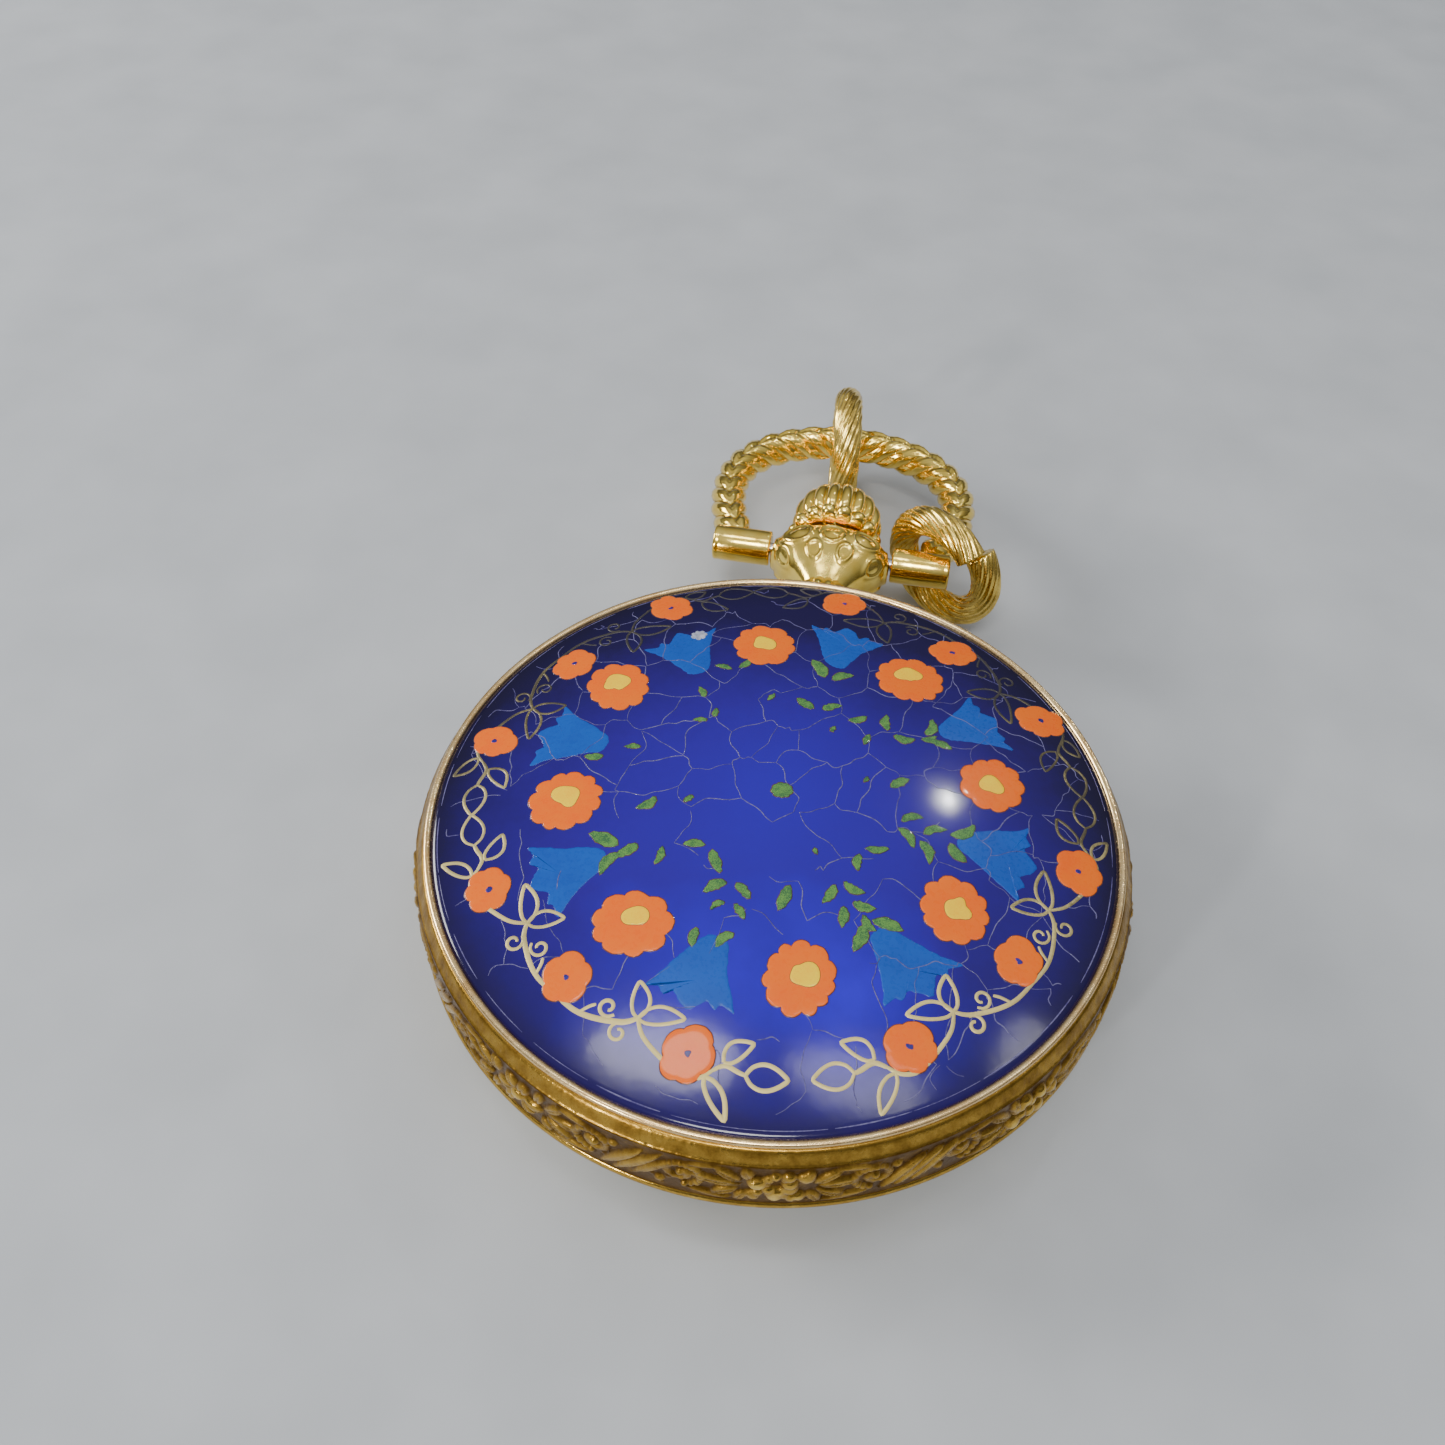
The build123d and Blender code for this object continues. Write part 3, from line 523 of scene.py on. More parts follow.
GREEN = paint("leaf_green_paint", (0.10, 0.24, 0.05), (0.03, 0.10, 0.04), 3.5, cover=0.35)
GILDING = gilding_with_painted_shade()
# Dark outlines under the flowers and leaflets, also painted shadow.
OUTLINE_AND_SHADOW = paint("outline_and_shadow_paint", (0.10, 0.045, 0.03), (0.03, 0.015, 0.03), 3.0)
LILAC = paint("crackle_lines", (0.14, 0.13, 0.26), (0.05, 0.04, 0.15), 1.2, 0.35, 0.3, 0.2)
DOT = paint("dot_blue_paint", (0.03, 0.02, 0.22), (0.01, 0.008, 0.08), 3.0)
CHIP = paint("chip_grey", (0.42, 0.44, 0.50), (0.14, 0.16, 0.25), 4.0, 0.5)
WHITE = paint("dial_white", (0.88, 0.87, 0.82), (0.82, 0.80, 0.74), 0.5)
BLACK = paint("dial_black", (0.02, 0.02, 0.025), (0.01, 0.01, 0.012), 2.0)
RUBBER = paint("gasket_black", (0.03, 0.03, 0.03), (0.015, 0.015, 0.015), 2.0, 0.6, 0.0)
CRYSTAL = glassy("crystal_glass", (0.97, 0.98, 0.98))
RUBY = glassy("ruby_jewel", (0.75, 0.06, 0.16), 0.05)


# Enamelled back

def case_rows(profile, around):
    """Rings about the case axis from (radius, height) corners."""
    angle = full_turn(around)
    return [np.column_stack((radius * np.cos(angle), radius * np.sin(angle),
                             np.full(around, height))) for radius, height in profile]


def build_back():
    """The enamel dome in its thin gold rim, with the cover's underside and skirt."""
    around = 288
    angle = full_turn(around)
    # The enamel rounds over outside this radius.
    shoulder = 12.9
    rings = list(np.linspace(0.3, 12.7, 47)) + [12.86, 12.96, 13.03, 13.08, ENAMEL_RADIUS]
    rows = []
    for radius in rings:
        x = radius * np.cos(angle)
        y = radius * np.sin(angle)
        drop = 1.8 * max(0.0, radius - shoulder) ** 2
        rows.append(np.column_stack((x, y, dome(x, y) - drop)))
    rows += case_rows(((13.1, 6.04), (13.05, 6.0), (9.0, 6.75), (4.0, 7.2)), around)
    points, faces = closed_tube(rows)
    points[-2, 2] = dome(0.0, 0.0)
    piece("enamel_dome", points, faces, COBALT, "back", ["enamel_disc"])
    profile = [(4.0, 7.22), (9.0, 6.74), (12.9, 5.99), (13.08, 5.98), (13.09, 6.14),
               (13.13, 6.2), (13.2, 6.24), (13.27, 6.25), (13.33, 6.23), (13.37, 6.18),
               (13.38, 6.1), (13.36, 6.02), (13.3, 6.0), (13.05, 5.99), (12.98, 5.95),
               (12.97, 5.4), (12.94, 5.36), (12.62, 5.36), (12.6, 5.4), (12.6, 5.72),
               (12.3, 5.82), (9.0, 6.42), (4.0, 6.9)]
    points, faces = closed_tube(case_rows(profile, around))
    piece("back_rim", points, faces, RIM_GOLD, "back", ["back_cover"])


def bell_outline(angle):
    """A bell flower that opens away from the middle, with a torn mouth."""
    profile = [(0.0, 0.0), (0.12, 0.42), (0.6, 0.7), (1.25, 1.02), (1.9, 1.38), (2.5, 1.82),
               (2.42, 1.3), (2.62, 1.02), (2.42, 0.7), (2.7, 0.34), (2.92, 0.05)]
    corners = profile + [(u, -v) for u, v in profile[-2:0:-1]]
    radial = towards(math.radians(angle))
    across = np.array((-radial[1], radial[0]))
    apex = round_case(6.95 + chance.uniform(-0.1, 0.2), angle)
    size = chance.uniform(0.95, 1.05)
    twist = jitter(0.1)
    outline = []
    for u, v in corners:
        wobble = np.array((jitter(0.05), jitter(0.05)))
        outline.append(apex + radial * u * size + across * size * (v * 0.92 + u * twist) + wobble)
    fine = smooth_path(outline, 5, closed=True)
    ragged = [point + np.array((jitter(0.022), jitter(0.022)))
              for point in fine]
    return np.array(ragged)


def build_flowers():
    """Painted flowers, each with a dark outline under it that is also painted shadow, and the bells
    and the chip between them.
    """
    edge_shadows, orange, yellow, dots, blue, chip = (Heap() for _ in range(6))
    edge_lift, petal_lift, heart_lift = 0.012, 0.02, 0.026

    def flower(outline):
        paint_patch(edge_shadows, grown(outline, 0.03), edge_lift)
        paint_patch(orange, outline, petal_lift)

    for radius, angle in BIG_FLOWERS:
        centre = spot_at(radius, angle)
        flower(petals(centre, chance.uniform(1.34, 1.45), chance.randint(9, 11), 0.13))
        offset = centre + np.array((chance.uniform(-0.16, 0.1), chance.uniform(0.0, 0.22)))
        heart = blob(offset, chance.uniform(0.44, 0.54), 0.42)
        # A dark ring under the heart: outline and painted shadow.
        paint_patch(edge_shadows, grown(heart, 0.022), petal_lift + 0.0025)
        paint_patch(yellow, heart, heart_lift)
    for radius, angle in SMALL_FLOWERS:
        centre = spot_at(radius, angle)
        flower(petals(centre, chance.uniform(0.92, 1.02), chance.randint(5, 6), 0.15, 0.1, 14))
        paint_patch(dots, blob(centre, chance.uniform(0.09, 0.13), 0.5, 14), heart_lift)
    for angle in BELLS:
        paint_patch(blue, bell_outline(angle), 0.008)
    paint_patch(chip, petals(round_case(9.15, 119), 0.36, 7, 0.3), 0.014)
    for name, heap, material in (("flower_edge_shadows", edge_shadows, OUTLINE_AND_SHADOW), ("orange_flowers", orange, ORANGE),
                                 ("yellow_hearts", yellow, YELLOW), ("flower_dots", dots, DOT),
                                 ("bell_flowers", blue, BELL), ("enamel_chip", chip, CHIP)):
        heap.on_back(name, material)


def build_leaflets():
    """Green leaflets in sprigs of one to three, and the green rosette at the middle."""
    edge_shadows, green = Heap(), Heap()

    def edged(outline, border):
        # The dark border under each leaflet is an outline and painted shadow.
        paint_patch(edge_shadows, grown(outline, border), 0.008)
        paint_patch(green, outline, 0.015)

    def leaflet(base, heading, length):
        width = chance.uniform(0.3, 0.4) * length + 0.05
        lean = jitter(0.16) * length
        outline = leaf(base, base + length * towards(heading), width, 10, lean, 0.6)
        edged(outline + [(jitter(0.03), jitter(0.03)) for _ in outline], 0.035)

    for radius, angle, leaves, length in SPRIGS:
        at = spot_at(radius, angle)
        out = math.radians(angle + jitter(12))
        if leaves == 1:
            leaflet(at, out + math.radians(jitter(50)), length)
            continue
        for side in (-1, 1):
            heading = out + side * math.radians(chance.uniform(34, 62))
            shift = 0.16 * side * np.array((-math.sin(out), math.cos(out)))
            leaflet(at + shift, heading, length * chance.uniform(0.8, 1.1))
        if leaves == 3:
            leaflet(at - 0.25 * length * towards(out), out, 0.6 * length)
    edged(petals(np.array((0.22, 0.07)), 0.4, 9, 0.12), 0.04)
    edge_shadows.on_back("leaf_edge_shadows", OUTLINE_AND_SHADOW)
    green.on_back("green_leaflets", GREEN)


def build_filigree():
    """Four gilt sprays near the rim, each mirrored about the angle it stands at."""
    lines = Heap()

    def stroke(corners, width=0.2, taper=0.35, steps=8):
        path = smooth_path(corners, steps)
        # The lines thin out towards the crown.
        wear = 0.84 - 0.018 * np.mean(path[:, 1])
        paint_line(lines, path, width * wear * chance.uniform(0.9, 1.1), 0.016, taper)

    def leaf_loop(base, tip, width, lean=0.0):
        outline = leaf(base, tip, width, 9, lean)
        stroke(list(outline) + [outline[0]], 0.17, 0.15, 3)

    def curl(centre, radius, start, turn):
        """A small spiral. Turn is its sweep in degrees, signed."""
        path = []
        for step in range(13):
            t = step / 12
            angle = math.radians(start + turn * t)
            path.append(centre + radius * (1 - 0.68 * t) * towards(angle))
        stroke(path, 0.15, 0.3, 3)

    for group in (59, 148, -123, -30):
        for hand in (-1, 1):
            def spot(angle, radius):
                return round_case(radius, group + hand * angle)

            junction = spot(15.5, 10.85)
            stroke([spot(31.5, 11.75), spot(29.5, 12.1), spot(26.6, 12.17), spot(22.3, 11.8),
                    spot(18, 11.36), junction])
            stroke([junction, spot(14.2, 11.1), spot(12.4, 11.3), spot(8.3, 11.6),
                    spot(4.5, 11.76), spot(-0.2, 11.76)], 0.22)
            leaf_loop(junction, spot(24.0, 10.25), 0.62, 0.1 * hand)
            leaf_loop(junction, spot(11.9, 9.65), 0.62, -0.08 * hand)
            curl(spot(13.6, 11.62), 0.36, group + hand * 190, 400 * hand)
            curl(spot(9.4, 11.0), 0.36, group + hand * 80, -400 * hand)
            stroke([spot(5.6, 11.7), spot(6.4, 11.35), spot(7.2, 11.15)], 0.14)
            leaf_loop(spot(30.5, 12.0), spot(34.8, 12.66), 0.5, 0.06 * hand)
            leaf_loop(spot(33.2, 11.4), spot(38.2, 10.6), 0.6, 0.12 * hand)
            stroke([spot(31.5, 11.75), spot(33.5, 11.5), spot(36.0, 11.65), spot(37.2, 11.72)])
            leaf_loop(spot(37.2, 11.72), spot(44.4, 11.8), 0.85)
    lines.on_back("filigree", GILDING)


def build_crackle():
    """Lines between the cells of an uneven net, as fine ribbons, and arcs along the rim."""
    pitch, looseness = 1.95, 1.05
    limit, nearly = 12.5, 12.3
    seeds = []
    for row in range(-8, 9):
        for column in range(-8, 9):
            x = pitch * (column + 0.5 * (row % 2)) + jitter(looseness)
            y = 0.87 * pitch * row + jitter(looseness)
            seeds.append(Vector((x, y)))
    corners, _, triangles, _, _, _ = delaunay_2d_cdt(seeds, [], [], 0, 1e-5)
    hubs, beside = [], {}
    for number, triangle in enumerate(triangles):
        a, b, c = (np.array(corners[k]) for k in triangle[:3])
        matrix = 2 * np.array((b - a, c - a))
        hubs.append(np.linalg.solve(matrix, np.array((b @ b - a @ a, c @ c - a @ a))))
        for k in range(3):
            side = frozenset((triangle[k], triangle[(k + 1) % 3]))
            beside.setdefault(side, []).append(number)
    lines = Heap()
    for _, pair in sorted(beside.items(), key=lambda item: sorted(item[0])):
        if len(pair) != 2:
            continue
        start, end = hubs[pair[0]], hubs[pair[1]]
        middle = (start + end) / 2
        inner, outer = sorted((start, end), key=np.linalg.norm)
        if np.linalg.norm(outer) > limit:
            if np.linalg.norm(inner) > nearly:
                continue
            inside = 1.0
            while np.linalg.norm(inner + (outer - inner) * inside) > limit:
                inside -= 0.02
            start, end = inner, inner + (outer - inner) * inside
        quiet = middle[1] < -1 and middle[0] < 4.5
        if chance.random() < (0.62 if quiet else 0.08):
            continue
        length = np.linalg.norm(end - start)
        if length < 0.25:
            continue
        steps = max(3, int(length / 0.3))
        side = np.array((start[1] - end[1], end[0] - start[0])) / length
        path = []
        wander = 0.0
        for step in range(steps + 1):
            t = step / steps
            wander += jitter(0.13)
            path.append(start + (end - start) * t + side * wander * math.sin(math.pi * t))
        paint_line(lines, smooth_path(path, 3), chance.uniform(0.03, 0.055), 0.012, 0.45)
    arcs, arc_radius = 30, 12.84
    for number in range(arcs):
        start = math.radians(number * 360 / arcs)
        sweep = math.radians(chance.uniform(9.0, 12.5))
        path = [arc_radius * towards(start + sweep * t) for t in np.linspace(0, 1, 13)]
        paint_line(lines, path, chance.uniform(0.03, 0.06), 0.006, 0.6)
    lines.on_back("crackle_lines", LILAC)


# Chased band

def boss(field, along, across, half, height, pointed=False, vein=0.0):
    """Raises an oval or pointed boss where the along and across distances are small."""
    fullness = 0.6
    if pointed:
        room = np.clip(1 - (along / half[0]) ** 2, 0, 1)
        share = np.abs(across) / np.maximum(half[1] * room, 1e-6)
        raised = height * np.clip(1 - share ** 2, 0, 1) ** fullness * room ** 0.25
    else:
        share = (along / half[0]) ** 2 + (across / half[1]) ** 2
        raised = height * np.clip(1 - share, 0, 1) ** fullness
    if vein:
        raised = raised * (1 - vein * np.exp(-(across / 0.045) ** 2))
    np.maximum(field, raised, out=field)


def chasing(around, height):
    """Relief of rosettes, acanthus sprays and scrolls round the band, in millimetres."""
    loop = math.tau * BAND_RADIUS
    unit = loop / BAND_UNITS
    middle = 4.08
    # Each motif is drawn about its home, then enlarged and deepened.
    enlarged, deepened = 1.33, 1.25
    field = np.zeros(around.shape)

    def stamp(u, v, turn, half, tall, **shape):
        u, v = home + (u - home) * enlarged, middle + (v - middle) * enlarged
        shift = (around - u + loop / 2) % loop - loop / 2
        near = np.abs(shift[:, 0]) < 2.3
        rise = height[near] - v
        c, s = math.cos(turn), math.sin(turn)
        part = field[near]
        half = tuple(enlarged * size * chance.uniform(0.88, 1.15) for size in half)
        boss(part, shift[near] * c + rise * s, rise * c - shift[near] * s, half,
             deepened * tall * chance.uniform(0.85, 1.1), **shape)
        field[near] = part

    def rosette(u, v):
        stamp(u, v, 0, (0.24, 0.24), 0.2)
        for petal in range(6):
            turn = math.tau * petal / 6 + jitter(0.2)
            stamp(u + 0.5 * math.cos(turn), v + 0.5 * math.sin(turn), turn, (0.33, 0.22), 0.17,
                  vein=0.35)

    def pebbles(u, v):
        for _ in range(24):
            size = chance.uniform(0.1, 0.26)
            stamp(u + jitter(0.75), v + jitter(0.6), 0,
                  (size, size), 0.6 * size + 0.05)

    def spray(u, v, hand):
        """Acanthus leaves, a scroll round its eye, and two long leaves along the edges."""
        for lean, length in ((8, 0.8), (-30, 0.62), (42, 0.66), (-62, 0.42), (74, 0.42)):
            turn = math.radians(lean)
            reach = 0.75 + 0.75 * length
            stamp(u + hand * (0.55 + reach * 0.75 * math.cos(turn)),
                  v + reach * 0.62 * math.sin(turn), hand * turn, (length * 0.75, 0.19),
                  0.14, pointed=True, vein=0.45)
        eye = (u + hand * 2.45, v + 0.16)
        for step in range(26):
            t = step / 25
            angle = math.radians(-100 - 470 * t)
            size = 0.62 - 0.46 * t
            stamp(eye[0] + hand * size * math.cos(angle), eye[1] + size * math.sin(angle), 0,
                  (0.12, 0.12), 0.12 - 0.03 * t)
        stamp(*eye, 0, (0.15, 0.15), 0.14)
        stamp(u + hand * 1.75, v - 0.7, hand * 0.2, (0.7, 0.14), 0.1, pointed=True)
        stamp(u + hand * 1.9, v + 0.78, -hand * 0.15, (0.55, 0.12), 0.09, pointed=True)

    def divider(u, v):
        for slot in (-0.42, 0.0, 0.42):
            stamp(u + slot, v, math.radians(50), (0.98, 0.17), 0.15, pointed=True, vein=0.2)
        stamp(u - 0.62, v + 0.5, 0, (0.15, 0.15), 0.11)
        stamp(u + 0.62, v - 0.5, 0, (0.15, 0.15), 0.11)

    for number in range(BAND_UNITS):
        home = number * unit
        v = middle + jitter(0.05)
        if number % 3:
            pebbles(home, v)
        else:
            rosette(home, v)
        for hand in (-1, 1):
            spray(home, v, hand)
        divider(home + unit / 2 / enlarged, v)
        for _ in range(26):
            stamp(home + jitter(3.6), v + jitter(0.85), 0,
                  (0.07, 0.07), 0.035)
    return field


def build_band():
    """The case band, with chased relief below a matted shoulder."""
    columns = 1600
    low_edge, high_edge, fade_width = 2.72, 5.44, 0.08
    angle = full_turn(columns)
    bottom = [(12.72, 2.75), (12.7, 2.55), (12.72, 2.41), (13.3, 2.4), (13.78, 2.4),
              (13.86, 2.45), (13.9, 2.54), (13.88, 2.63), (13.82, 2.69)]
    chased = [(13.79 - 0.03 * t, low_edge + 2.7 * t) for t in np.linspace(0, 1, 40)]
    shoulder = [(13.72, 5.45), (13.68, 5.5), (13.64, 5.58), (13.59, 5.68), (13.54, 5.78),
                (13.48, 5.88), (13.42, 5.96), (13.36, 5.99), (13.18, 5.99), (13.15, 5.9),
                (13.15, 5.4), (13.3, 5.25), (13.3, 2.85)]
    profile = np.array(bottom + chased + shoulder)
    first = len(bottom)
    last = first + len(chased)
    radius = np.repeat(profile[None, :, 0], columns, axis=0)
    height = np.repeat(profile[None, :, 1], columns, axis=0)
    around = np.repeat((angle * BAND_RADIUS)[:, None], len(profile), axis=1)
    relief = np.zeros(radius.shape)
    relief[:, first:last] = chasing(around[:, first:last], height[:, first:last])
    fade = np.clip(np.minimum(height - low_edge, high_edge - height) / fade_width, 0, 1)
    grain = np.random.default_rng(5).normal(0, 1, radius.shape)
    grain = (grain + np.roll(grain, 1, 0) + np.roll(grain, 1, 1)) / 3
    matted = np.zeros(radius.shape)
    matted[:, first:last] = 0.006
    matted[:, last:last + 6] = 0.01
    radius = radius + relief * fade + grain * matted
    points = np.stack((radius * np.cos(angle)[:, None], radius * np.sin(angle)[:, None], height),
                      axis=-1)
    faces = grid_faces(columns, len(profile), close_rows=True, close_columns=True)
    band = piece("chased_band", points, faces, CHASED, "case", ["case_band"])
    # How bright each point is painted, for the chased gold's material: patina in the recesses and a
    # painted highlight on the highest relief, which is fully bright.
    highest = 0.28
    shade = relief / highest
    shade[:, :first] = 0.62
    shade[:, last:] = 0.34
    store = band.data.attributes.new("relief", "FLOAT", "POINT")
    store.data.foreach_set("value", np.clip(shade, 0, 1).astype(np.float32).ravel())


# Pendant, crown and bow

def stem_point(x, along, up):
    """A point beside the stem: across it, along it and above its axis."""
    return np.stack((x, along, STEM_HEIGHT + up), axis=-1)


def lathe_rows(profile, columns, ripple):
    """Rows round the stem. Ripple gives the share of the radius at an angle and a place on the
    profile, from 0 to 1."""
    angle = full_turn(columns)
    rows = []
    for place, (radius, along) in enumerate(profile):
        size = radius * ripple(angle, place / (len(profile) - 1))
        rows.append(stem_point(size * np.sin(angle), np.full(columns, along), size * np.cos(angle)))
    return rows


def ribbed(count, depth, sharpness, fade):
    """A ripple of ribs that runs out at both ends of the profile."""
    def ripple(angle, place):
        groove = 1 - np.abs(np.sin(count * angle / 2)) ** sharpness
        return 1 - depth * groove * math.sin(math.pi * place) ** fade
    return ripple


def gilt_tube(name, rows, body, stands_for):
    """A closed tube of polished gold that replaces a CAD node."""
    points, faces = closed_tube(rows)
    piece(name, points, faces, GOLD, body, [stands_for])


def build_crown():
    """The fluted crown and the beaded ring under it."""
    flutes = 18
    corners = [(1.7, 19.15), (1.93, 19.2), (2.12, 19.5), (2.2, 20.0), (2.1, 20.6), (1.76, 21.15),
               (1.22, 21.55), (0.62, 21.76), (0.12, 21.8)]

    def gadroons(angle, place):
        depth = 0.15 * math.sin(math.pi * min(1.0, 0.12 + 0.95 * place)) ** 0.4 * (1 - place ** 6)
        return 1 - depth * (1 - np.abs(np.sin(flutes * angle / 2)) ** 0.55)

    rows = lathe_rows(smooth_path(corners, 5), flutes * 14, gadroons)
    gilt_tube("fluted_crown", rows, "crown", "crown")
    beads = 16
    ring = smooth_path([(1.5, 18.42), (1.95, 18.42), (2.24, 18.55), (2.32, 18.76), (2.22, 18.98),
                        (1.95, 19.09), (1.5, 19.1)], 4)
    rows = lathe_rows(ring, beads * 14, ribbed(beads, 0.16, 0.5, 0.4))
    gilt_tube("beaded_ring", rows, "crown", "crown_ring")


def build_neck():
    """The pendant's bulb between the two bow barrels, with raised petals, and its ribbed collar."""
    angle = full_turn(280)
    cos, sin = np.cos(angle), np.sin(angle)
    # Corners: half width, half thickness and place along the stem.
    corners = [(1.08, 1.08, 14.0), (1.12, 1.1, 14.6), (1.3, 1.22, 15.0), (1.8, 1.45, 15.6),
               (2.4, 1.68, 16.25), (2.78, 1.8, 16.9), (2.78, 1.78, 17.5), (2.5, 1.66, 17.95),
               (1.9, 1.4, 18.22), (1.2, 1.1, 18.3)]
    squareness = 2.3
    petal = angle * 8 / math.tau
    rows = []
    for wide, tall, along in smooth_path(corners, 9):
        size = 1 / ((np.abs(sin) / wide) ** squareness
                    + (np.abs(cos) / tall) ** squareness) ** (1 / squareness)
        turn = (petal + 0.5) % 1 - 0.5
        share = np.sqrt((turn / 0.45) ** 2 + ((along - 17.35) / 0.72) ** 2)
        lift = 0.1 * np.exp(-((share - 0.82) / 0.12) ** 2) + 0.1 * np.clip(1 - share / 0.55, 0, 1)
        turn = petal % 1 - 0.5
        share = np.sqrt((turn / 0.3) ** 2 + ((along - 16.25) / 0.62) ** 2)
        lift = np.maximum(lift, 0.08 * np.exp(-((share - 0.75) / 0.16) ** 2))
        lift = lift * min(1.0, max(0.0, (along - 15.2) / 0.4))
        size = np.minimum(size + lift, BULB_HALF_WIDTH / np.maximum(np.abs(sin), 1e-3))
        rows.append(stem_point(size * sin, np.full(len(angle), along), size * cos))
    gilt_tube("pendant_bulb", rows, "case", "pendant_neck")
    ribs = 18
    ring = smooth_path([(1.1, 13.6), (1.5, 13.7), (1.66, 13.95), (1.6, 14.3), (1.4, 14.6),
                        (1.25, 14.85), (1.1, 14.95)], 5)
    rows = lathe_rows(ring, ribs * 12, ribbed(ribs, 0.13, 0.6, 0.3))
    gilt_tube("ribbed_collar", rows, "case", "pendant_collar")


def in_bow_plane(x, along, up):
    """A point of the flat bow drawing, tilted about its pivots."""
    c, s = math.cos(BOW_TILT), math.sin(BOW_TILT)
    return np.stack((x, BOW_PIVOT + along * c - up * s, STEM_HEIGHT + along * s + up * c), axis=-1)


def bow_line():
    """Even points on the bow's centre line, as (x, along), and their lengths along it."""
    def arc(centre, radius, start, end):
        turn = np.radians(np.linspace(start, end, 60))
        return centre + radius * np.column_stack((np.cos(turn), np.sin(turn)))

    # The right half is a leg that curves outwards, a round shoulder and a flatter top.
    shoulder, shoulder_radius, top = (0.8, 5.2), 5.0, (0.0, 4.045)
    inset, fall = 1.2, 4.7
    leg = (inset ** 2 + fall ** 2) / (2 * inset)
    low = -math.degrees(math.asin(fall / leg))
    across, rise = shoulder[0] - top[0], shoulder[1] - top[1]
    join = math.degrees(math.atan2(rise, across))
    leg_centre = (shoulder[0] + shoulder_radius - leg, shoulder[1])
    right = np.vstack((arc(leg_centre, leg, low, 0),
                       arc(shoulder, shoulder_radius, 0, join)[1:],
                       arc(top, shoulder_radius + math.hypot(across, rise), join, 90)[1:]))
    tuck = 0.45
    start = right[0] - (right[1] - right[0]) / np.linalg.norm(right[1] - right[0]) * tuck
    right = np.vstack((start, right))
    path = np.vstack((right, right[-2::-1] * (-1, 1)))
    length = np.concatenate(((0,), np.cumsum(np.linalg.norm(np.diff(path, axis=0), axis=1))))
    even = np.linspace(0, length[-1], 900)
    return np.column_stack((np.interp(even, length, path[:, 0]),
                            np.interp(even, length, path[:, 1]))), even


def build_bow():
    """A rope of two slanted rows of strands that meet in a line of chevrons."""
    path, length = bow_line()
    forward = np.gradient(path, axis=0)
    forward /= np.linalg.norm(forward, axis=1, keepdims=True)
    outward = np.column_stack((forward[:, 1], -forward[:, 0]))
    turn = np.linspace(-math.pi, math.pi, 72, endpoint=False)
    side = np.abs(turn)
    swell = 0.6 + 0.4 * np.abs(np.sin(turn)) ** 0.5
    seams = 0.1 * np.exp(-(turn / 0.14) ** 2) + 0.1 * np.exp(-((side - math.pi) / 0.14) ** 2)
    pitch, rope_radius = 1.2, 0.9
    rows = []
    for place, out, s in zip(path, outward, length):
        end = min(s, length[-1] - s)
        phase = end / pitch - 2.0 * side / math.pi
        strand = np.abs(np.sin(math.pi * phase)) ** 0.6
        size = rope_radius - 0.24 * (1 - strand) * swell - seams
        size = size - 0.018 * (0.5 + 0.5 * np.cos(math.tau * 4 * (phase % 1)))
        size = size * (0.86 + 0.14 * min(1.0, end / 0.9))
        rows.append(in_bow_plane(place[0] + size * np.sin(turn) * out[0],
                                 place[1] + size * np.sin(turn) * out[1], size * np.cos(turn)))
    gilt_tube("rope_bow", rows, "bow", "bow")


def build_barrels():
    """The two turned barrels that hold the bow's ends."""
    profile = [(0.34, 2.94), (0.74, 2.93), (0.81, 2.95), (0.84, 3.0), (0.84, 3.12), (0.828, 3.16),
               (0.84, 3.2), (0.843, 3.8), (0.843, 4.6), (0.84, 5.42), (0.828, 5.46), (0.84, 5.5),
               (0.84, 5.62), (0.81, 5.68), (0.74, 5.7), (0.3, 5.7)]
    around = 96
    turn = full_turn(around)
    for hand, side in ((-1, "left"), (1, "right")):
        rows = [in_bow_plane(np.full(around, hand * x), hand * radius * np.cos(turn),
                             radius * np.sin(turn)) for radius, x in profile]
        points, faces = closed_tube(rows)
        piece(f"barrel_{side}", points, [face[::-1] for face in faces], GOLD, "bow",
              [f"bow_barrel_{side}"])


def build_ring(side, centre, basis, gap=0.0, gap_at=0.0, spring=0.0):
    """A ring of reeded wire. A gap leaves it cut, with its ends sprung apart sideways."""
    reeds, twist, steps = 14, 1.5, 260
    ring_radius, wire_radius = 2.5, 0.7
    section = full_turn(reeds * 8)
    sweep = np.linspace(gap / 2, math.tau - gap / 2, steps, endpoint=gap > 0)
    rows = []
    for angle in sweep:
        share = angle / math.tau
        roll = section * reeds + math.tau * twist * share * reeds
        size = wire_radius * (1.03 - 0.15 * (1 - np.abs(np.sin(roll / 2)) ** 0.6))
        size = size * (1 + 0.012 * math.sin(9 * angle) + 0.01 * math.sin(17 * angle + 1))
        at = gap_at + angle
        reach = ring_radius + size * np.cos(section)
        local = np.stack((reach * math.cos(at), reach * math.sin(at),
                          size * np.sin(section) + spring * (share - 0.5)), axis=-1)
        rows.append(local @ basis.T + np.array(centre))
    if gap:
        points, faces = closed_tube(rows)
    else:
        points = np.array(rows)
        faces = grid_faces(steps, len(section), close_rows=True, close_columns=True)
    piece(f"reeded_ring_{side}", points, [tuple(face)[::-1] for face in faces], RING_GOLD,
          f"ring_{side}", [f"jump_ring_{side}"])


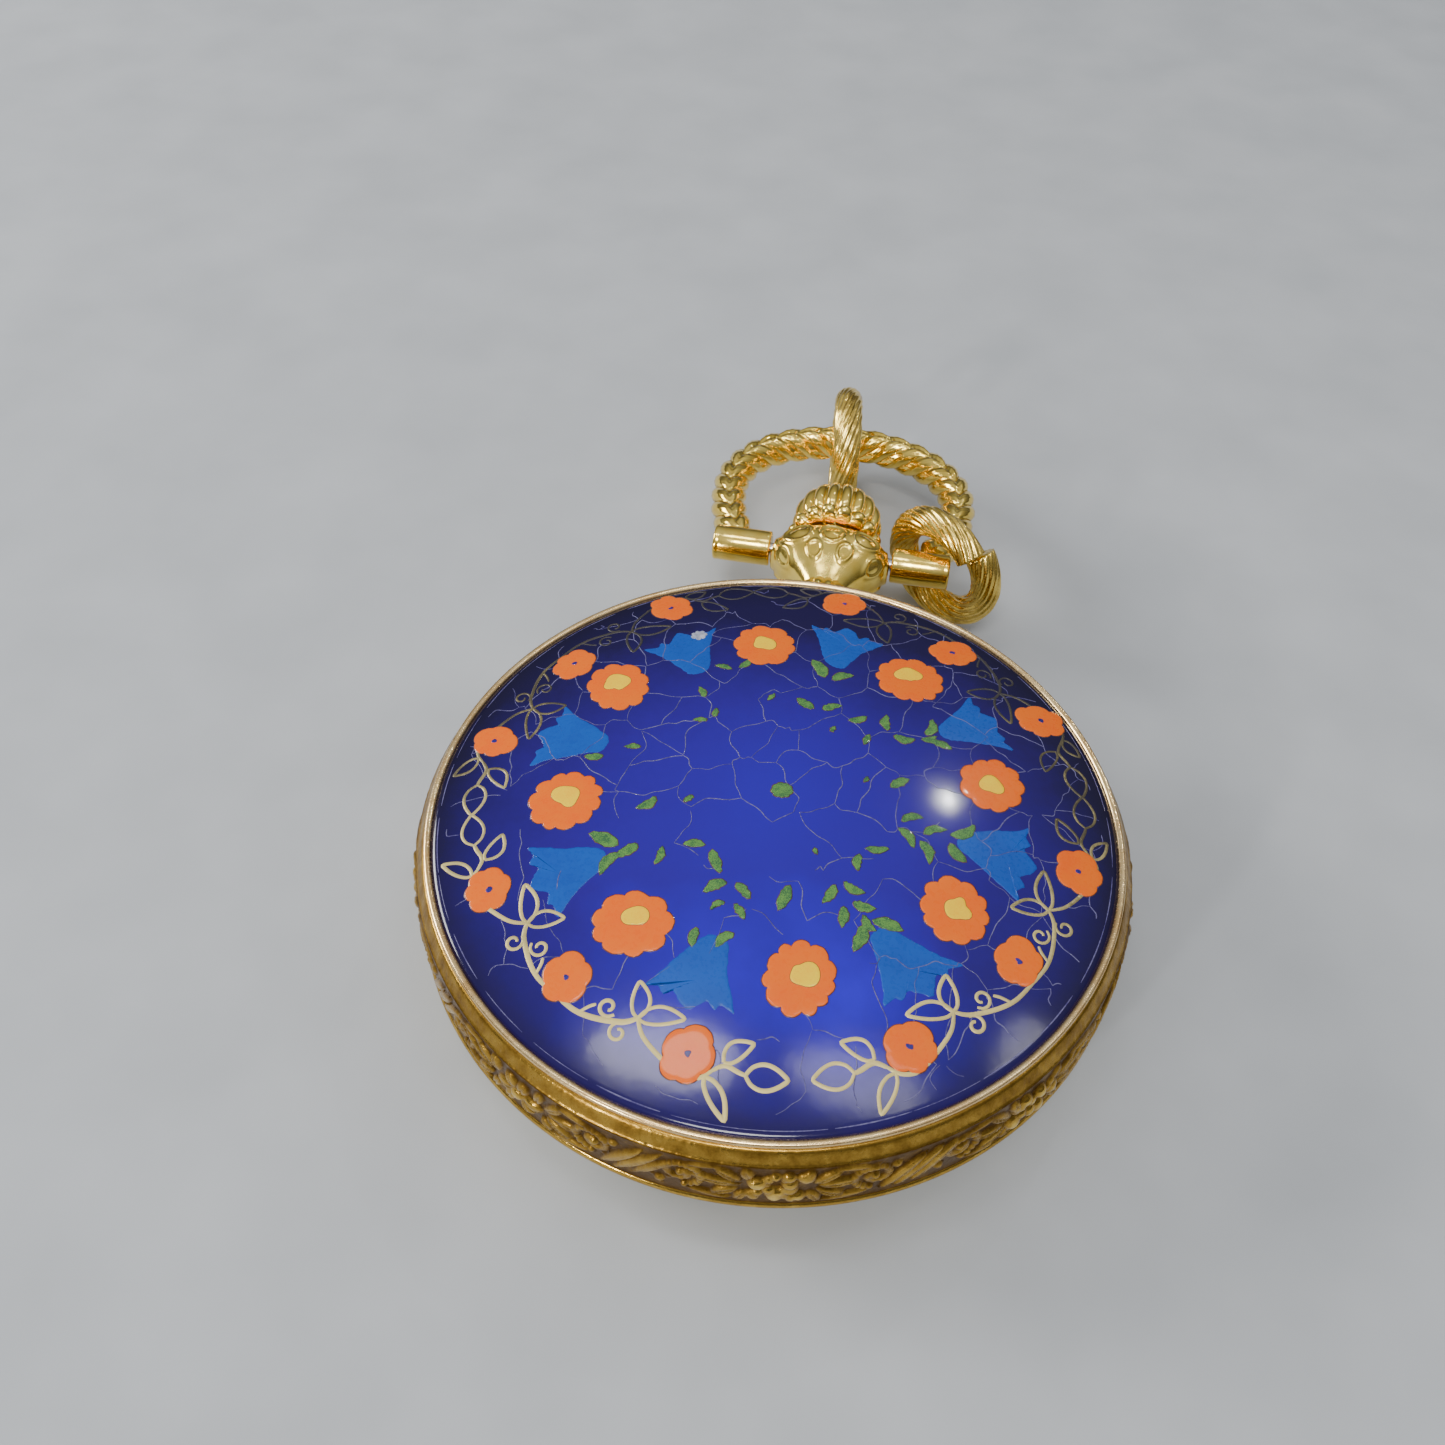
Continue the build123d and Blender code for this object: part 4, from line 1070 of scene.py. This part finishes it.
def build_rings():
    """The closed ring on the bow's top, and the cut one on its side."""
    quarter = Matrix.Rotation(math.pi / 2, 3, "Y")
    top = np.array(Matrix.Rotation(0.1, 3, "Z") @ quarter)
    build_ring("top", (-0.45, 27.25, 3.2), top)
    side = np.array(Matrix.Rotation(math.pi / 2 - 0.654, 3, "Z") @ Matrix.Rotation(-0.036, 3, "Y")
                    @ quarter)
    build_ring("side", (5.4, 18.56, 3.6), side, 0.05, RING_CUT, -0.55)


# Dial side

def build_dial_print():
    """The minute track, printed on the dial's front."""
    printed, buried = 2.285, 2.302
    inner, outer, around = 10.35, 10.95, 180
    box = [(0, 1, 2, 3), (7, 6, 5, 4), (0, 4, 5, 1), (1, 5, 6, 2), (2, 6, 7, 3), (3, 7, 4, 0)]
    lines = Heap()
    for minute in range(60):
        radial = towards(math.radians(6 * minute))
        across = np.array((-radial[1], radial[0]))
        half = (0.07 if minute % 5 else 0.14) / 2
        corners = [radial * r + across * s for r, s in ((inner, -half), (inner, half),
                                                        (outer, half), (outer, -half))]
        lines.add([(*corner, level) for level in (buried, printed) for corner in corners], box)
    for radius in (inner - 0.05, outer + 0.05):
        rows = case_rows([(radius - 0.03, buried), (radius - 0.03, printed),
                          (radius + 0.03, printed), (radius + 0.03, buried)], around)
        lines.add(np.array(rows).reshape(-1, 3),
                  grid_faces(4, around, close_rows=True, close_columns=True))
    piece("minute_track", lines.points, lines.faces, BLACK, "case")


def dress_frame():
    """Materials for the CAD nodes that still show."""
    finish = {"gold": GOLD, "ring_gold": RING_GOLD, "enamel": COBALT, "crystal": CRYSTAL,
              "gasket": RUBBER, "dial_enamel": WHITE, "marker": BLACK, "movement_brass": BRASS,
              "steel": STEEL, "blued_steel": BLUED, "ruby": RUBY}
    own = {part["node"]: part["material_slot"] for part in frame["record"]["subparts"]}
    for name, node in frame["nodes"].items():
        node.data.materials.clear()
        node.data.materials.append(RIM_GOLD if name == "back_cover" else finish[own[name]])


# Setting

def build_setting():
    """The floor the watch lies on, the sky and the lamps."""
    size = 900 * MM
    data = bpy.data.meshes.new("floor")
    data.from_pydata([(-size, -size, 0), (size, -size, 0), (size, size, 0), (-size, size, 0)], [],
                     [(0, 1, 2, 3)])
    material, tree, surface = shader("pale_floor")
    soft = noise(tree, place_in_mm(tree), 0.15, 3.0)
    set_inputs(tree, surface, {
        "Base Color": ramp(tree, soft, ((0.3, (0.37, 0.385, 0.40)), (0.7, (0.42, 0.435, 0.45)))),
        "Roughness": spread(tree, soft, 0.75, 0.85)})
    data.materials.append(material)
    shown("floor", data)

    world = bpy.data.worlds.new("studio")
    bpy.context.scene.world = world
    world.use_nodes = True
    tree = world.node_tree
    sky = tree.nodes.new("ShaderNodeTexCoord").outputs["Generated"]
    upwards = add(tree, "SeparateXYZ", {0: sky}).outputs[2]
    shade = ramp(tree, spread(tree, upwards, 0.0, 1.0, -0.2, 1.0),
                 ((0.1, (0.05, 0.052, 0.06)), (0.45, (0.30, 0.31, 0.34)), (0.9, (1.0, 1.02, 1.06))))
    set_inputs(tree, tree.nodes["Background"], {"Color": shade, "Strength": 0.62})

    for name, place, wide, tall, watts in LAMPS:
        lamp = bpy.data.lights.new(name, "AREA")
        lamp.shape = "ELLIPSE"
        lamp.size = wide * MM
        lamp.size_y = tall * MM
        lamp.energy = watts
        made = shown(name, lamp)
        made.location = Vector(place) * MM
        heading = Vector(place).normalized()
        made.rotation_euler = (-math.asin(heading.y), math.atan2(heading.x, heading.z), 0)


def build_camera():
    """The photo's camera, held a little askew."""
    eye = Vector((3.32, -31.59, 47.62)) * MM
    target = Vector((-2.83, 4.26, 6.2)) * MM
    tilt = 0.021
    data = bpy.data.cameras.new("camera")
    data.lens = 33.63
    data.clip_start = 0.001
    camera = shown("camera", data)
    camera.location = eye
    level = (target - eye).to_track_quat("-Z", "Y")
    camera.rotation_euler = (level.to_matrix() @ Matrix.Rotation(tilt, 3, "Z")).to_euler()
    bpy.context.scene.camera = camera


dress_frame()
build_back()
build_flowers()
build_leaflets()
build_filigree()
build_crackle()
build_band()
build_crown()
build_neck()
build_bow()
build_barrels()
build_rings()
build_dial_print()
build_setting()
build_camera()
